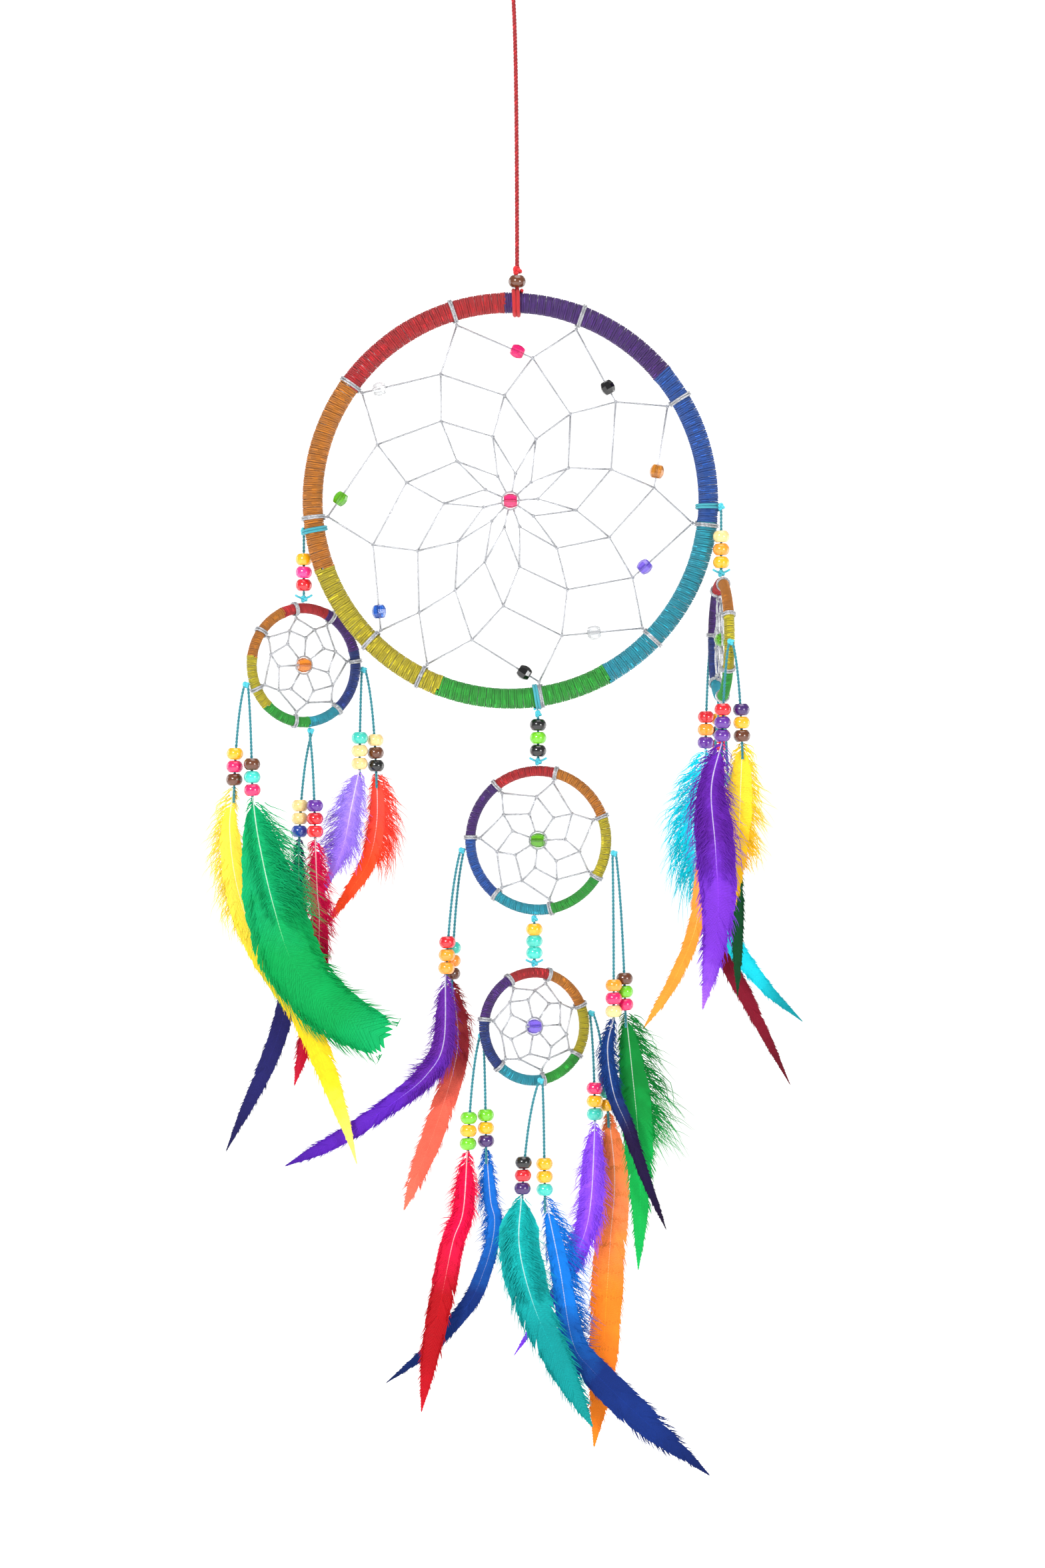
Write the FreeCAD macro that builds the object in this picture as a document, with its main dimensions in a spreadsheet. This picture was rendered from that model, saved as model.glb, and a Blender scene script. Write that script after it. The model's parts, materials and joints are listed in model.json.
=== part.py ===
import FreeCAD, Part
import math
import os
from FreeCAD import Placement, Rotation, Vector

# Dream catcher: one large wound ring with a swirling web, four small wound hoops with webs, and
# eleven drops of beads and feathers.  Millimetres, +Z up, the front faces -Y.  The origin is the
# inside of the top of the hanging loop, where a hook carries the whole piece.

doc = FreeCAD.newDocument("dream_catcher")

# ---------------------------------------------------------------- driving sizes
SIZES = {
    "loop_height": 40.0, "loop_width": 14.0,
    "hanging_cord_thick": 2.0, "hanging_cord_drop": 134.6,
    "hanging_knot_wide": 4.6,
    "cord_thick": 1.3, "knot_wide": 3.0, "cord_tail": 11.0,
    "ring_radius": 95.0, "ring_tube": 10.0, "ring_core_tube": 7.0,
    "hoop_tube": 5.2, "hoop_core_tube": 3.2,
    "left_hoop_radius": 27.4, "right_hoop_radius": 27.4,
    "upper_hoop_radius": 33.3, "lower_hoop_radius": 25.9,
    "left_link": 32.3, "right_link": 32.0, "upper_link": 23.0, "lower_link": 21.4,
    "thread_thick": 1.0, "thread_knot": 1.7, "web_bead_wide": 7.0,
    "bead_wide": 8.0, "bead_high": 5.6, "bead_step": 6.2,
    "hanging_bead_wide": 8.4, "hanging_bead_high": 5.8,
    "feather_thick": 0.8,
    "clearance": 0.3, "wound_gap": 0.05,
}
sheet = doc.addObject("Spreadsheet::Sheet", "Sizes")
for row, (alias, value) in enumerate(SIZES.items(), start=1):
    sheet.set(f"A{row}", alias)
    sheet.set(f"B{row}", str(value))
    sheet.setAlias(f"B{row}", alias)
doc.recompute()


def size(alias):
    """The value of one cell of the sheet."""
    return float(getattr(sheet, alias))


RING_SIDE = -3.2        # the ring hangs a little to the left of its cord
LEFT_STRAND_BACK = 6.0  # the left hoop's strand leaves the rim behind its middle
RIGHT_STRAND_FRONT = 5.5  # and the right hoop's strand leaves it in front

# colour changes of the winding, in clock degrees from the top, seen from the front
RING_COLOURS = (-1.5, 50, 96.5, 151, 201, 250, 305.5)
RING_HITCHES = (-17, 21, 59, 97, 134, 171, 207, 225, 265, 306)
# where each hitch's bead sits along its first strand, as a share of it; 0 is a hitch with none
RING_BEADS = (0.8, 0.8, 0.8, 0.8, 0.6, 0.22, 0, 0.22, 0.25, 0.22)
WEB_TWIST = 0.68        # how far along its loop each next round ties on


# ---------------------------------------------------------------- small helpers
def bound(obj, **expressions):
    """Bind properties of an object to expressions on the sheet."""
    for prop, expression in expressions.items():
        obj.setExpression(prop, expression)
    return obj


def labelled(obj, label):
    obj.Label = label
    return obj


def feature(name, shape):
    """A Part::Feature holding a shape that no primitive or boolean object gives."""
    obj = doc.addObject("Part::Feature", name)
    obj.Shape = shape
    return obj


def in_plane(name, solids, hoop):
    """A feature of separate solids made in a hoop's own plane and turned into place with it."""
    obj = feature(name, Part.makeCompound(solids))
    obj.Placement = hoop.place
    return obj


def group(label, members):
    """Several separate solids of one kind as one named sub-part."""
    obj = doc.addObject("Part::Compound", "Group_" + label)
    obj.Links = members
    return labelled(obj, label)


# ---------------------------------------------------------------- hoops
class Hoop:
    """A wound hoop: centre, turn about Z, and clock positions seen from its front."""

    def __init__(self, name, centre, turn, radius, tube, core, hitches, colours):
        self.name, self.centre, self.turn = name, centre, turn
        self.radius, self.tube, self.core = radius, tube, core
        self.hitches, self.colours = hitches, colours
        upright = Rotation(Vector(0, 0, 1), turn).multiply(Rotation(Vector(1, 0, 0), 90))
        self.place = Placement(centre, upright)

    @staticmethod
    def local(clock, radius, front=0.0):
        """A clock angle (degrees, clockwise from the top) and radius, in the hoop's own plane."""
        a = math.radians(clock)
        return Vector(radius * math.sin(a), radius * math.cos(a), front)

    def point(self, clock, radius, front=0.0):
        """The same point in the part's frame."""
        return self.place.multVec(self.local(clock, radius, front))

    def outer(self):
        return size(self.radius) + size(self.tube) / 2

    def make_core(self):
        core = doc.addObject("Part::Torus", "Core_" + self.name)
        bound(core, Radius1=f"Sizes.{self.radius}", Radius2=f"Sizes.{self.core} / 2")
        core.Placement = self.place
        return labelled(core, self.name + "_core")

    def make_winding(self):
        """One tube of wound thread for each colour, cut hollow for the core."""
        parts = []
        ends = list(self.colours[1:]) + [self.colours[0] + 360]
        for index, (start, end) in enumerate(zip(self.colours, ends)):
            tube = doc.addObject("Part::Torus", f"Wound_{self.name}_{index}")
            bound(tube, Radius1=f"Sizes.{self.radius}", Radius2=f"Sizes.{self.tube} / 2")
            tube.Angle3 = end - start - 0.2
            hollow = doc.addObject("Part::Torus", f"Hollow_{self.name}_{index}")
            bound(hollow, Radius1=f"Sizes.{self.radius}",
                  Radius2=f"Sizes.{self.core} / 2 + Sizes.wound_gap")
            colour = doc.addObject("Part::Cut", f"Colour_{self.name}_{index}")
            colour.Base, colour.Tool = tube, hollow
            spin = Placement(Vector(), Rotation(Vector(0, 0, 1), 90 - end))
            colour.Placement = self.place.multiply(spin)
            parts.append(colour)
        return group(self.name + "_winding", parts)


def rod(a, b, thick):
    """A straight length of cord."""
    return Part.makeCylinder(thick / 2, (b - a).Length, a, b - a)


def web_nodes(hoop, rounds):
    """Knots of the web in the hoop's own plane, round by round: each loop ties on part way along
    the loop outside it, so the rounds swirl towards the centre bead."""
    thread, knot, gap = size("thread_thick"), size("thread_knot"), size("wound_gap")
    first = size(hoop.radius) - size(hoop.tube) / 2 - thread - 3 * gap - knot / 2
    last = 2.6 * (size("web_bead_wide") / 2 + thread + 2 * size("clearance"))
    angles, all_rounds = list(hoop.hitches), []
    for step in range(rounds + 1):
        radius = first + (last - first) * step / rounds
        all_rounds.append([hoop.local(a, radius) for a in angles])
        nexts = angles[1:] + [angles[0] + 360]
        angles = [a + WEB_TWIST * (b - a) for a, b in zip(angles, nexts)]
    return all_rounds


def polygon_face(corners):
    """A flat face with straight edges."""
    return Part.Face(Part.makePolygon(list(corners) + [corners[0]]))


def round_face(centre, radius, sides):
    """A many-sided flat disc."""
    return polygon_face([centre + Vector(radius * math.cos(2 * math.pi * k / sides + 0.1),
                                         radius * math.sin(2 * math.pi * k / sides + 0.1), 0)
                         for k in range(sides)])


def thread_face(a, b, wide):
    """A flat strip from a to b."""
    side = Vector(a.y - b.y, b.x - a.x, 0).normalize() * (wide / 2)
    return polygon_face([a + side, b + side, b - side, a - side])


def make_web(hoop, rounds):
    """The web: one knotted net in the hoop's plane with an eye round the centre bead, and a hitch
    of the same thread round the rim at each of its outer knots."""
    thread, knot = size("thread_thick"), size("thread_knot")
    reach = size(hoop.tube) / 2 + size("wound_gap") + thread / 2
    nodes = web_nodes(hoop, rounds)
    faces, hitches = [], []
    for clock, tied in zip(hoop.hitches, nodes[0]):
        edge = hoop.local(clock, size(hoop.radius) - reach - thread / 2 - size("wound_gap"))
        faces += [round_face(tied, knot / 2, 8), thread_face(edge, tied, thread)]
        along = Vector(math.cos(math.radians(clock)), -math.sin(math.radians(clock)), 0)
        hitches.append(Part.makeTorus(reach, thread / 2, hoop.local(clock, size(hoop.radius)), along))
    for outer_round, inner_round in zip(nodes, nodes[1:]):
        for index, node in enumerate(inner_round):
            faces.append(thread_face(outer_round[index], node, thread))
            faces.append(thread_face(node, outer_round[(index + 1) % len(outer_round)], thread))
            faces.append(round_face(node, knot / 2, 8))
    eye = size("web_bead_wide") / 2 + thread / 2 + size("clearance")
    faces.append(round_face(Vector(), eye + thread / 2, 16).cut(
        round_face(Vector(), eye - thread / 2, 16)))
    faces.append(thread_face(Vector(-eye, 0, 0), Vector(eye, 0, 0), thread))
    for node in nodes[-1]:
        faces.append(thread_face(node, Vector(node).normalize() * eye, thread))
    strips = [face.extrude(Vector(0, 0, thread)) for face in faces]
    net = strips[0].multiFuse(strips[1:])
    net.translate(Vector(0, 0, -thread / 2))
    print(f"web of {hoop.name}: {len(net.Solids)} net, {len(net.Faces)} faces")
    return net.Solids + hitches, nodes


def faceted_bead(centre, along):
    """A cut acrylic bead: flat facets in rings about its thread hole."""
    wide = size("web_bead_wide")
    rings = []
    for height, share in ((-0.5, 0.42), (-0.22, 0.95), (0.22, 0.95), (0.5, 0.42)):
        corners = [Vector(share * wide / 2 * math.cos(a), share * wide / 2 * math.sin(a),
                          height * wide)
                   for a in (math.radians(45 * k) for k in range(8))]
        rings.append(Part.makePolygon(corners + corners[:1]))
    body = Part.makeLoft(rings, True, True)
    bore = size("thread_thick") * 0.75 + size("wound_gap")
    hole = Part.makeCylinder(bore, wide * 2, Vector(0, 0, -wide))
    bead = body.cut(hole)
    bead.Placement = Placement(centre, Rotation(Vector(0, 0, 1), along))
    return bead


# ---------------------------------------------------------------- beads and cords
def wooden_bead(name, centre, wide="bead_wide", high="bead_high", cord="cord_thick"):
    """A polished wooden bead with a cord hole, standing upright on its cord."""
    body = doc.addObject("Part::Ellipsoid", "Round_" + name)
    bound(body, Radius1=f"Sizes.{high} / 2", Radius2=f"Sizes.{wide} / 2")
    hole = doc.addObject("Part::Cylinder", "Bore_" + name)
    bound(hole, Radius=f"Sizes.{cord} / 2 + Sizes.clearance", Height=f"Sizes.{high} * 2")
    hole.setExpression("Placement.Base.z", f"-Sizes.{high}")
    bead = doc.addObject("Part::Cut", "Bead_" + name)
    bead.Base, bead.Tool = body, hole
    bead.Placement = Placement(centre, Rotation())
    return bead


def cord_tube(name, points, thick):
    """A round cord along a route: straight runs joined by tangent arcs, each arc as large as its
    two runs allow, with its volume tested against section times length."""
    pieces, radii, start, length = [], [], points[0], 0.0
    for before, corner, after in zip(points, points[1:], points[2:]):
        back, on = (before - corner), (after - corner)
        shorter = min(back.Length, on.Length)
        turn = math.pi - back.getAngle(on)
        reach = 0.45 * shorter
        radius = reach / math.tan(turn / 2)
        radii.append(round(radius, 1))
        back, on = back.normalize(), on.normalize()
        into = corner + back * reach
        hub = corner + (back + on).normalize() * (radius / math.cos(turn / 2))
        axis = on.cross(back)
        disc = Part.Face(Part.Wire(Part.makeCircle(thick / 2, into, back)))
        pieces += [rod(start, into, thick), disc.revolve(hub, axis, math.degrees(turn))]
        length += (into - start).Length + radius * turn
        start = corner + on * reach
    pieces.append(rod(start, points[-1], thick))
    length += (points[-1] - start).Length
    tube = pieces[0].multiFuse(pieces[1:])
    wanted = math.pi * thick ** 2 / 4 * length
    print(f"cord {name}: length {length:.1f}, bends {radii}, "
          f"volume {tube.Volume / wanted:.4f} of section x length")
    return tube


# ---------------------------------------------------------------- hanger
def make_hanger():
    """The hanging cord: an open loop tied off in a knot, then one straight drop to the ring's knot."""
    thick, knot = size("hanging_cord_thick"), size("hanging_knot_wide")
    high, half = size("loop_height"), size("loop_width") / 2
    top = thick / 2
    route = [Vector(1.6, 0, -high), Vector(half - 1, 0, -0.62 * high), Vector(half, 0, -0.3 * high),
             Vector(half - 2.5, 0, top), Vector(-half + 2.5, 0, top),
             Vector(-half, 0, -0.3 * high), Vector(-half + 1.2, 0, -0.62 * high),
             Vector(0, 0, -high - 4), Vector(0, 0, -high - size("hanging_cord_drop"))]
    tube = cord_tube("hanging_cord", route, thick)
    loop_knot = Part.makeSphere(knot / 2, Vector(0.6, 0, -high - 1.5))
    end_knot = Part.makeSphere(knot / 2, route[-1])
    whole = tube.multiFuse([loop_knot, end_knot])
    return labelled(feature("HangingCord", whole), "hanging_cord"), route[-1]


def around_rim(hoop, clock, thick, turns):
    """Turns of cord wrapped side by side over a hoop's rim at a clock angle."""
    reach = size(hoop.tube) / 2 + size("wound_gap") + thick / 2
    along = hoop.place.Rotation.multVec(
        Vector(math.cos(math.radians(clock)), -math.sin(math.radians(clock)), 0))
    middle = hoop.point(clock, size(hoop.radius))
    step = thick * 0.9
    rings = [Part.makeTorus(reach, thick / 2, middle + along * step * (i - (turns - 1) / 2), along)
             for i in range(turns)]
    return rings[0].multiFuse(rings[1:]) if turns > 1 else rings[0]


# ---------------------------------------------------------------- drops
def feather_face(base, route, width):
    """A feather's flat outline along a curved quill: narrow quill, full vane, pointed tip."""
    quill = Part.BSplineCurve()
    quill.interpolate([base + Vector(x, 0, z) for x, z in ((0, 0),) + tuple(route)])
    first, last = quill.FirstParameter, quill.LastParameter
    left, right = [], []
    for share, wide in ((0.0, 0.06), (0.1, 0.5), (0.25, 0.95), (0.45, 1.0), (0.65, 0.86),
                        (0.83, 0.6), (0.94, 0.3)):
        at = quill.value(first + share * (last - first))
        along = quill.tangent(first + share * (last - first))[0]
        across = Vector(along.z, 0, -along.x).normalize() * (width / 2 * wide)
        left.append(at + across)
        right.append(at - across)
    tip = quill.value(last)
    sides = []
    for points in (left, right):
        curve = Part.BSplineCurve()
        curve.interpolate(points + [tip])
        sides.append(curve.toShape())
    foot = Part.LineSegment(right[0], left[0]).toShape()
    return Part.Face(Part.Wire(Part.__sortEdges__([foot] + sides)))


def feather(name, base, route, width):
    """A feather as a thin plate of even thickness in the plane of the front."""
    outline = feature("Outline_" + name, feather_face(base, route, width))
    plate = doc.addObject("Part::Extrusion", "Feather_" + name)
    plate.Base = outline
    plate.DirMode, plate.Dir, plate.Solid, plate.Symmetric = "Custom", Vector(0, 1, 0), True, True
    return bound(plate, LengthFwd="Sizes.feather_thick")


class Strand:
    """One cord of a drop: sideways and front offset at its beads, and the first bead's depth."""

    def __init__(self, side, front, first_bead, beads, feather_route, feather_width):
        self.side, self.front, self.first_bead, self.beads = side, front, first_bead, beads
        self.feather_route, self.feather_width = feather_route, feather_width


def make_drop(name, knot_at, strands):
    """A drop of cords that share one knot, each with its beads, its cut tail and its feather."""
    cords, beads, feathers = [], [], []
    for index, strand in enumerate(strands):
        label = f"{name}_{'ab'[index]}"
        start = knot_at + Vector(0.8 * (-1 if index == 0 else 1), 0, 0)
        bend = knot_at + Vector(strand.side, -strand.front, -0.45 * strand.first_bead)
        last_bead = strand.first_bead + (strand.beads - 1) * size("bead_step")
        lean = Vector(0.004 * strand.side, 0, 0) * (last_bead + size("cord_tail"))
        end = knot_at + Vector(strand.side, -strand.front, -last_bead - size("cord_tail")) + lean
        cords.append(cord_tube(label, [start, bend, end], size("cord_thick")))
        for number in range(strand.beads):
            depth = strand.first_bead + number * size("bead_step")
            share = (depth - 0.45 * strand.first_bead) / (-end.z + bend.z)
            at = Vector(bend.x + (end.x - bend.x) * share, bend.y, knot_at.z - depth)
            beads.append(wooden_bead(f"{label}_{number}", at))
        beside = size("cord_thick") / 2 + size("feather_thick") / 2 + size("clearance")
        beside *= 1 if strand.front > 0 else -1
        base = Vector(end.x, bend.y - beside,
                      knot_at.z - last_bead - size("bead_high") / 2 - size("clearance"))
        feathers.append(feather(label, base, strand.feather_route, strand.feather_width))
    knot = Part.makeSphere(size("knot_wide") / 2, knot_at, Vector(0, 1, 0))
    both = labelled(feature("Cords_" + name, knot.multiFuse(cords)), name + "_cords")
    return [both, group(name + "_beads", beads), group(name + "_feathers", feathers)]


def rim_knot(hoop, clock, side="out"):
    """Where a drop's knot sits: just clear of a hoop's rim, outside it, behind it or before it."""
    away = size(hoop.tube) / 2 + size("clearance") + size("knot_wide") / 2
    if side == "out":
        return hoop.point(clock, size(hoop.radius) + away)
    return hoop.point(clock, size(hoop.radius), away if side == "front" else -away)


def make_link(name, top, drop, row_at, step):
    """A short strand with three beads between a rim and the hoop below it; row_at is how far down
    the strand the middle bead sits.  Returns its parts and its lower knot."""
    foot = top - Vector(0, 0, drop)
    PIVOTS[name] = top
    PIVOTS[name.replace("link", "foot")] = foot
    cord = rod(top, foot, size("cord_thick"))
    ends = [Part.makeSphere(size("knot_wide") / 2, p) for p in (top, foot)]
    cord = labelled(feature("Cord_" + name, cord.multiFuse(ends)), name + "_cord")
    middle = top - Vector(0, 0, drop * row_at)
    row = [wooden_bead(f"{name}_{n}", middle - Vector(0, 0, step * (n - 1))) for n in range(3)]
    return [cord, group(name + "_beads", row)], foot


def hoop_below(name, foot, turn, radius, hitches, colours):
    """A small hoop hung with its rim just under a strand's lower knot."""
    away = size("knot_wide") / 2 + size("clearance") + size("hoop_tube") / 2
    centre = foot - Vector(0, 0, away + size(radius))
    return Hoop(name, centre, turn, radius, "hoop_tube", "hoop_core_tube", hitches, colours)


# ---------------------------------------------------------------- the whole piece
subparts = []
PIVOTS = {}
hanging_cord, cord_end = make_hanger()
subparts.append(hanging_cord)

bead_z = (cord_end.z - size("hanging_knot_wide") / 2 - size("hanging_bead_high") / 2)
hanging_bead = wooden_bead("hanging", Vector(0, 0, bead_z), "hanging_bead_wide",
                           "hanging_bead_high", "hanging_cord_thick")
subparts.append(labelled(hanging_bead, "hanging_bead"))

tie_top = bead_z - size("hanging_bead_high") / 2 - size("clearance")
ring_top = tie_top - size("hanging_cord_thick") - size("wound_gap")
ring_z = ring_top - size("ring_tube") / 2 - size("ring_radius")
ring = Hoop("ring", Vector(RING_SIDE, 0, ring_z), 0, "ring_radius", "ring_tube", "ring_core_tube",
            RING_HITCHES, RING_COLOURS)
subparts += [ring.make_core(), ring.make_winding()]
web, nodes = make_web(ring, 4)
subparts.append(labelled(in_plane("Web_ring", web, ring), "ring_web"))
web_beads = [faceted_bead(hitch + (node - hitch) * share, node - hitch)
             for hitch, node, share in zip(nodes[0], nodes[1], RING_BEADS) if share]
web_beads.append(faceted_bead(Vector(), Vector(1, 0, 0)))
subparts.append(labelled(in_plane("WebBeads", web_beads, ring), "ring_web_beads"))

top_clock = math.degrees(math.asin(-RING_SIDE / size("ring_radius")))
LINK_CLOCKS = {"left": 261.6, "upper": 172.6, "right": 91.8}
red = around_rim(ring, top_clock, size("hanging_cord_thick"), 2)
stem_foot = ring.point(top_clock, ring.outer() + size("wound_gap") + size("hanging_cord_thick") / 2)
stem_top = cord_end - Vector(0, 0, size("hanging_knot_wide") / 2 + size("wound_gap"))
red = red.fuse(rod(Vector(0, 0, stem_foot.z), stem_top, size("hanging_cord_thick")))
ties = [red] + [around_rim(ring, clock, size("cord_thick"), 2) for clock in LINK_CLOCKS.values()]
subparts.append(labelled(feature("RimTies", Part.makeCompound(ties)), "rim_ties"))

SEVEN = (-24, 26, 75, 138, 175, 225, 278)
tie_away = size("cord_thick") + size("clearance") + size("knot_wide") / 2 + size("wound_gap")


def tie_knot(clock, back=0.0):
    """The knot of a link on the ring: beyond the turns of cord round the rim."""
    away = size("ring_tube") / 2 + tie_away
    out = math.sqrt(away ** 2 - back ** 2)
    return ring.point(clock, size("ring_radius") + out, -back)


link_parts, foot = make_link("left_link", tie_knot(LINK_CLOCKS["left"], LEFT_STRAND_BACK),
                             size("left_link"), 0.6, size("bead_step"))
subparts += link_parts
left = hoop_below("left_hoop", foot, 27, "left_hoop_radius",
                  (-10, 32, 85, 140, 190, 245, 305), SEVEN)

link_parts, foot = make_link("upper_link", tie_knot(LINK_CLOCKS["upper"]), size("upper_link"), 0.5,
                             size("bead_step"))
subparts += link_parts
upper = hoop_below("upper_hoop", foot, -12, "upper_hoop_radius",
                   (15, 70, 121, 169, 218, 272, 322), (-38, 15, 70, 121, 169, 218, 272))

link_parts, foot = make_link("lower_link", rim_knot(upper, 182.8), size("lower_link"), 0.5,
                             size("bead_high") + 0.05)
subparts += link_parts
lower = hoop_below("lower_hoop", foot, 22, "lower_hoop_radius",
                   (16, 67, 122, 170, 224, 278, 330), (-30, 16, 67, 122, 170, 224, 278))

link_parts, foot = make_link("right_link", tie_knot(LINK_CLOCKS["right"], -RIGHT_STRAND_FRONT),
                             size("right_link"), 0.64, size("bead_step"))
subparts += link_parts
right = hoop_below("right_hoop", foot, -84, "right_hoop_radius",
                   (15, 66, 121, 169, 222, 276, 330), (-30, 15, 66, 121, 169, 222, 276))

for hoop in (left, upper, lower, right):
    web, nodes = make_web(hoop, 2)
    bead = faceted_bead(Vector(), Vector(1, 0, 0))
    subparts += [hoop.make_core(), hoop.make_winding(),
                 labelled(in_plane("Web_" + hoop.name, web + [bead], hoop), hoop.name + "_web")]

# each drop: its knot, then two strands (side, front, depth of first bead, beads, feather, width)
DROPS = {
    "left_hoop_left_drop": (rim_knot(left, -107.7), (
        Strand(-5.0, -2.5, 33, 3, ((-2, -21), (2, -50), (13, -79), (36, -116), (53, -161),
                                   (59, -181)), 17),
        Strand(2.6, 2.5, 38, 3, ((4, -21), (13, -52), (24, -81), (40, -101), (65, -116)), 26))),
    "left_hoop_bottom_drop": (rim_knot(left, 173.3), (
        Strand(1.8, 2.5, 36, 3, ((1, -26), (2, -41), (0, -77), (-10, -119)), 20),
        Strand(-4.8, -2.5, 36, 3, ((-1, -44), (-10, -95), (-35, -151)), 18))),
    "left_hoop_right_drop": (rim_knot(left, 93.4), (
        Strand(-1.6, 2.5, 33, 3, ((-4, -19), (-8, -38), (-15, -53), (-21, -65)), 17),
        Strand(5.1, -2.5, 34, 3, ((0, -24), (-4, -43), (-13, -58), (-25, -75)), 20))),
    "upper_hoop_left_drop": (rim_knot(upper, -97.6), (
        Strand(-6.2, 4.1, 44, 3, ((-1, -33), (-9, -48), (-23, -60), (-48, -77), (-77, -92)), 14),
        Strand(-4.0, -4.1, 47, 3, ((3, -25), (1, -43), (-8, -72), (-15, -90), (-23, -111)), 15))),
    "upper_hoop_right_drop": (rim_knot(upper, 99.4), (
        Strand(-0.2, 2.5, 63, 3, ((-3, -15), (0, -36), (7, -53), (15, -76), (25, -101)), 13),
        Strand(4.2, -2.5, 60, 3, ((3, -28), (6, -60), (7, -92), (6, -124)), 17))),
    "lower_hoop_left_drop": (rim_knot(lower, -99.6, "back"), (
        Strand(-5.4, 2.5, 39, 3, ((-2, -29), (-7, -44), (-13, -74), (-18, -99), (-22, -125)), 14),
        Strand(1.8, -2.5, 38, 3, ((2, -25), (4, -34), (3, -45), (-1, -59), (-9, -76), (-29, -98),
                                  (-48, -113)), 13))),
    "lower_hoop_bottom_drop": (rim_knot(lower, 176.6, "front"), (
        Strand(-7.4, 2.5, 39, 3, ((-1, -25), (6, -53), (18, -80), (28, -100), (34, -111)), 19),
        Strand(1.6, -2.5, 40, 3, ((7, -34), (13, -69), (22, -83), (49, -109), (79, -134)), 14))),
    "lower_hoop_right_drop": (rim_knot(lower, 79.0), (
        Strand(1.4, 2.5, 36, 3, ((-2, -38), (-6, -57), (-15, -76), (-39, -113)), 14),
        Strand(6.8, -2.5, 32, 3, ((3, -32), (1, -61), (-1, -91), (-3, -124), (-7, -162)), 15))),
    "right_hoop_back_drop": (rim_knot(right, -92.7), (
        Strand(-2.6, 2.5, 35, 3, ((-6, -44), (10, -88), (28, -114), (47, -132)), 16),
        Strand(3.4, -2.5, 36, 3, ((-8, -61), (4, -102), (14, -122), (34, -162)), 14))),
    "right_hoop_bottom_drop": (rim_knot(right, 180), (
        Strand(-3.4, -2.5, 35, 3, ((-5, -38), (-9, -59), (-19, -82), (-33, -104)), 14),
        Strand(3.0, 2.5, 35, 3, ((3, -38), (4, -67), (4, -88)), 13))),
    "right_hoop_front_drop": (rim_knot(right, 93.2), (
        Strand(-3.6, 2.5, 32, 3, ((-5, -22), (-3, -51), (-2, -85), (-9, -126)), 20),
        Strand(4.6, -2.5, 32, 3, ((-1, -27), (-2, -50), (-5, -73), (-12, -93)), 20))),
}
for name, (knot_at, strands) in DROPS.items():
    PIVOTS[name] = knot_at
    subparts += make_drop(name, knot_at, strands)

# ---------------------------------------------------------------- check and write
doc.recompute()
for obj in doc.Objects:
    if "Invalid" in obj.State or "Error" in obj.State:
        raise RuntimeError(f"{obj.Name} failed: {obj.State}")
for part in subparts:
    if part.Shape.isNull() or not part.Shape.isValid():
        raise RuntimeError(f"{part.Label} has no valid shape")
os.makedirs("parts", exist_ok=True)
for part in subparts:
    part.Shape.exportStep(os.path.join("parts", part.Label + ".step"))
for label, point in (("ring", ring.centre), ("left", left.centre), ("upper", upper.centre),
                     ("lower", lower.centre), ("right", right.centre)):
    print("centre", label, [round(c, 2) for c in point])
PIVOTS["ring_turn"] = cord_end
for name, at in PIVOTS.items():
    print("knot", name, [round(c, 2) for c in at])
print(len(subparts), "sub-parts written")
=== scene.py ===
"""Looks of a hanging dream catcher: wound hoops, knotted webs, beaded cords and dyed feathers."""

import json
import logging
import math
import random
from dataclasses import dataclass
from enum import Enum

import bpy
import numpy as np
from mathutils import Matrix, Vector

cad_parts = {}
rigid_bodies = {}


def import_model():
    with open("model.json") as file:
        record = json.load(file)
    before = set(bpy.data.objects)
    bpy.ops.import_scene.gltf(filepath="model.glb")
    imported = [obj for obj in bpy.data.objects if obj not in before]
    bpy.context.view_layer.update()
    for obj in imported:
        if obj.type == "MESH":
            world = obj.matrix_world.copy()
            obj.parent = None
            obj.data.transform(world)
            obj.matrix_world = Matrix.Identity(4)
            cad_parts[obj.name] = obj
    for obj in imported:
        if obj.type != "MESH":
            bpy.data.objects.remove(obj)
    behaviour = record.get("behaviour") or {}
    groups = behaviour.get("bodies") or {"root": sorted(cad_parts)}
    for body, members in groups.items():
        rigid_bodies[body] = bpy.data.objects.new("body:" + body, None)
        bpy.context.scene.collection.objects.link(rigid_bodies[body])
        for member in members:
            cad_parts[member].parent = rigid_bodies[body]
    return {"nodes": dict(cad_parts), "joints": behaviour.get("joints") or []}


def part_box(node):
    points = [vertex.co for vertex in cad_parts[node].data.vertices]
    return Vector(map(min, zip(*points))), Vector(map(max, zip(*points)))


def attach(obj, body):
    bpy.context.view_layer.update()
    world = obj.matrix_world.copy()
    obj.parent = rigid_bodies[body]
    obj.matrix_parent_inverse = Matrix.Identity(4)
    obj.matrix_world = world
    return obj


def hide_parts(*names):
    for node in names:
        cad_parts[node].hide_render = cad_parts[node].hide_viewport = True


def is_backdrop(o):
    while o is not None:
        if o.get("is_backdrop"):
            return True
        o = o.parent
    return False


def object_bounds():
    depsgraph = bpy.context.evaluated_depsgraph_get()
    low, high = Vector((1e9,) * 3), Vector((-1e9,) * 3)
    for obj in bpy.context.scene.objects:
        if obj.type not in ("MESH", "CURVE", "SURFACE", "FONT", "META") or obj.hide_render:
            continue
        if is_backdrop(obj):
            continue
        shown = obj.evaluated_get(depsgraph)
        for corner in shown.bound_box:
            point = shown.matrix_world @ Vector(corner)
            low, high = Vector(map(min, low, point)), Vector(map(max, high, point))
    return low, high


LOG = logging.getLogger("dream_catcher")
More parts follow.
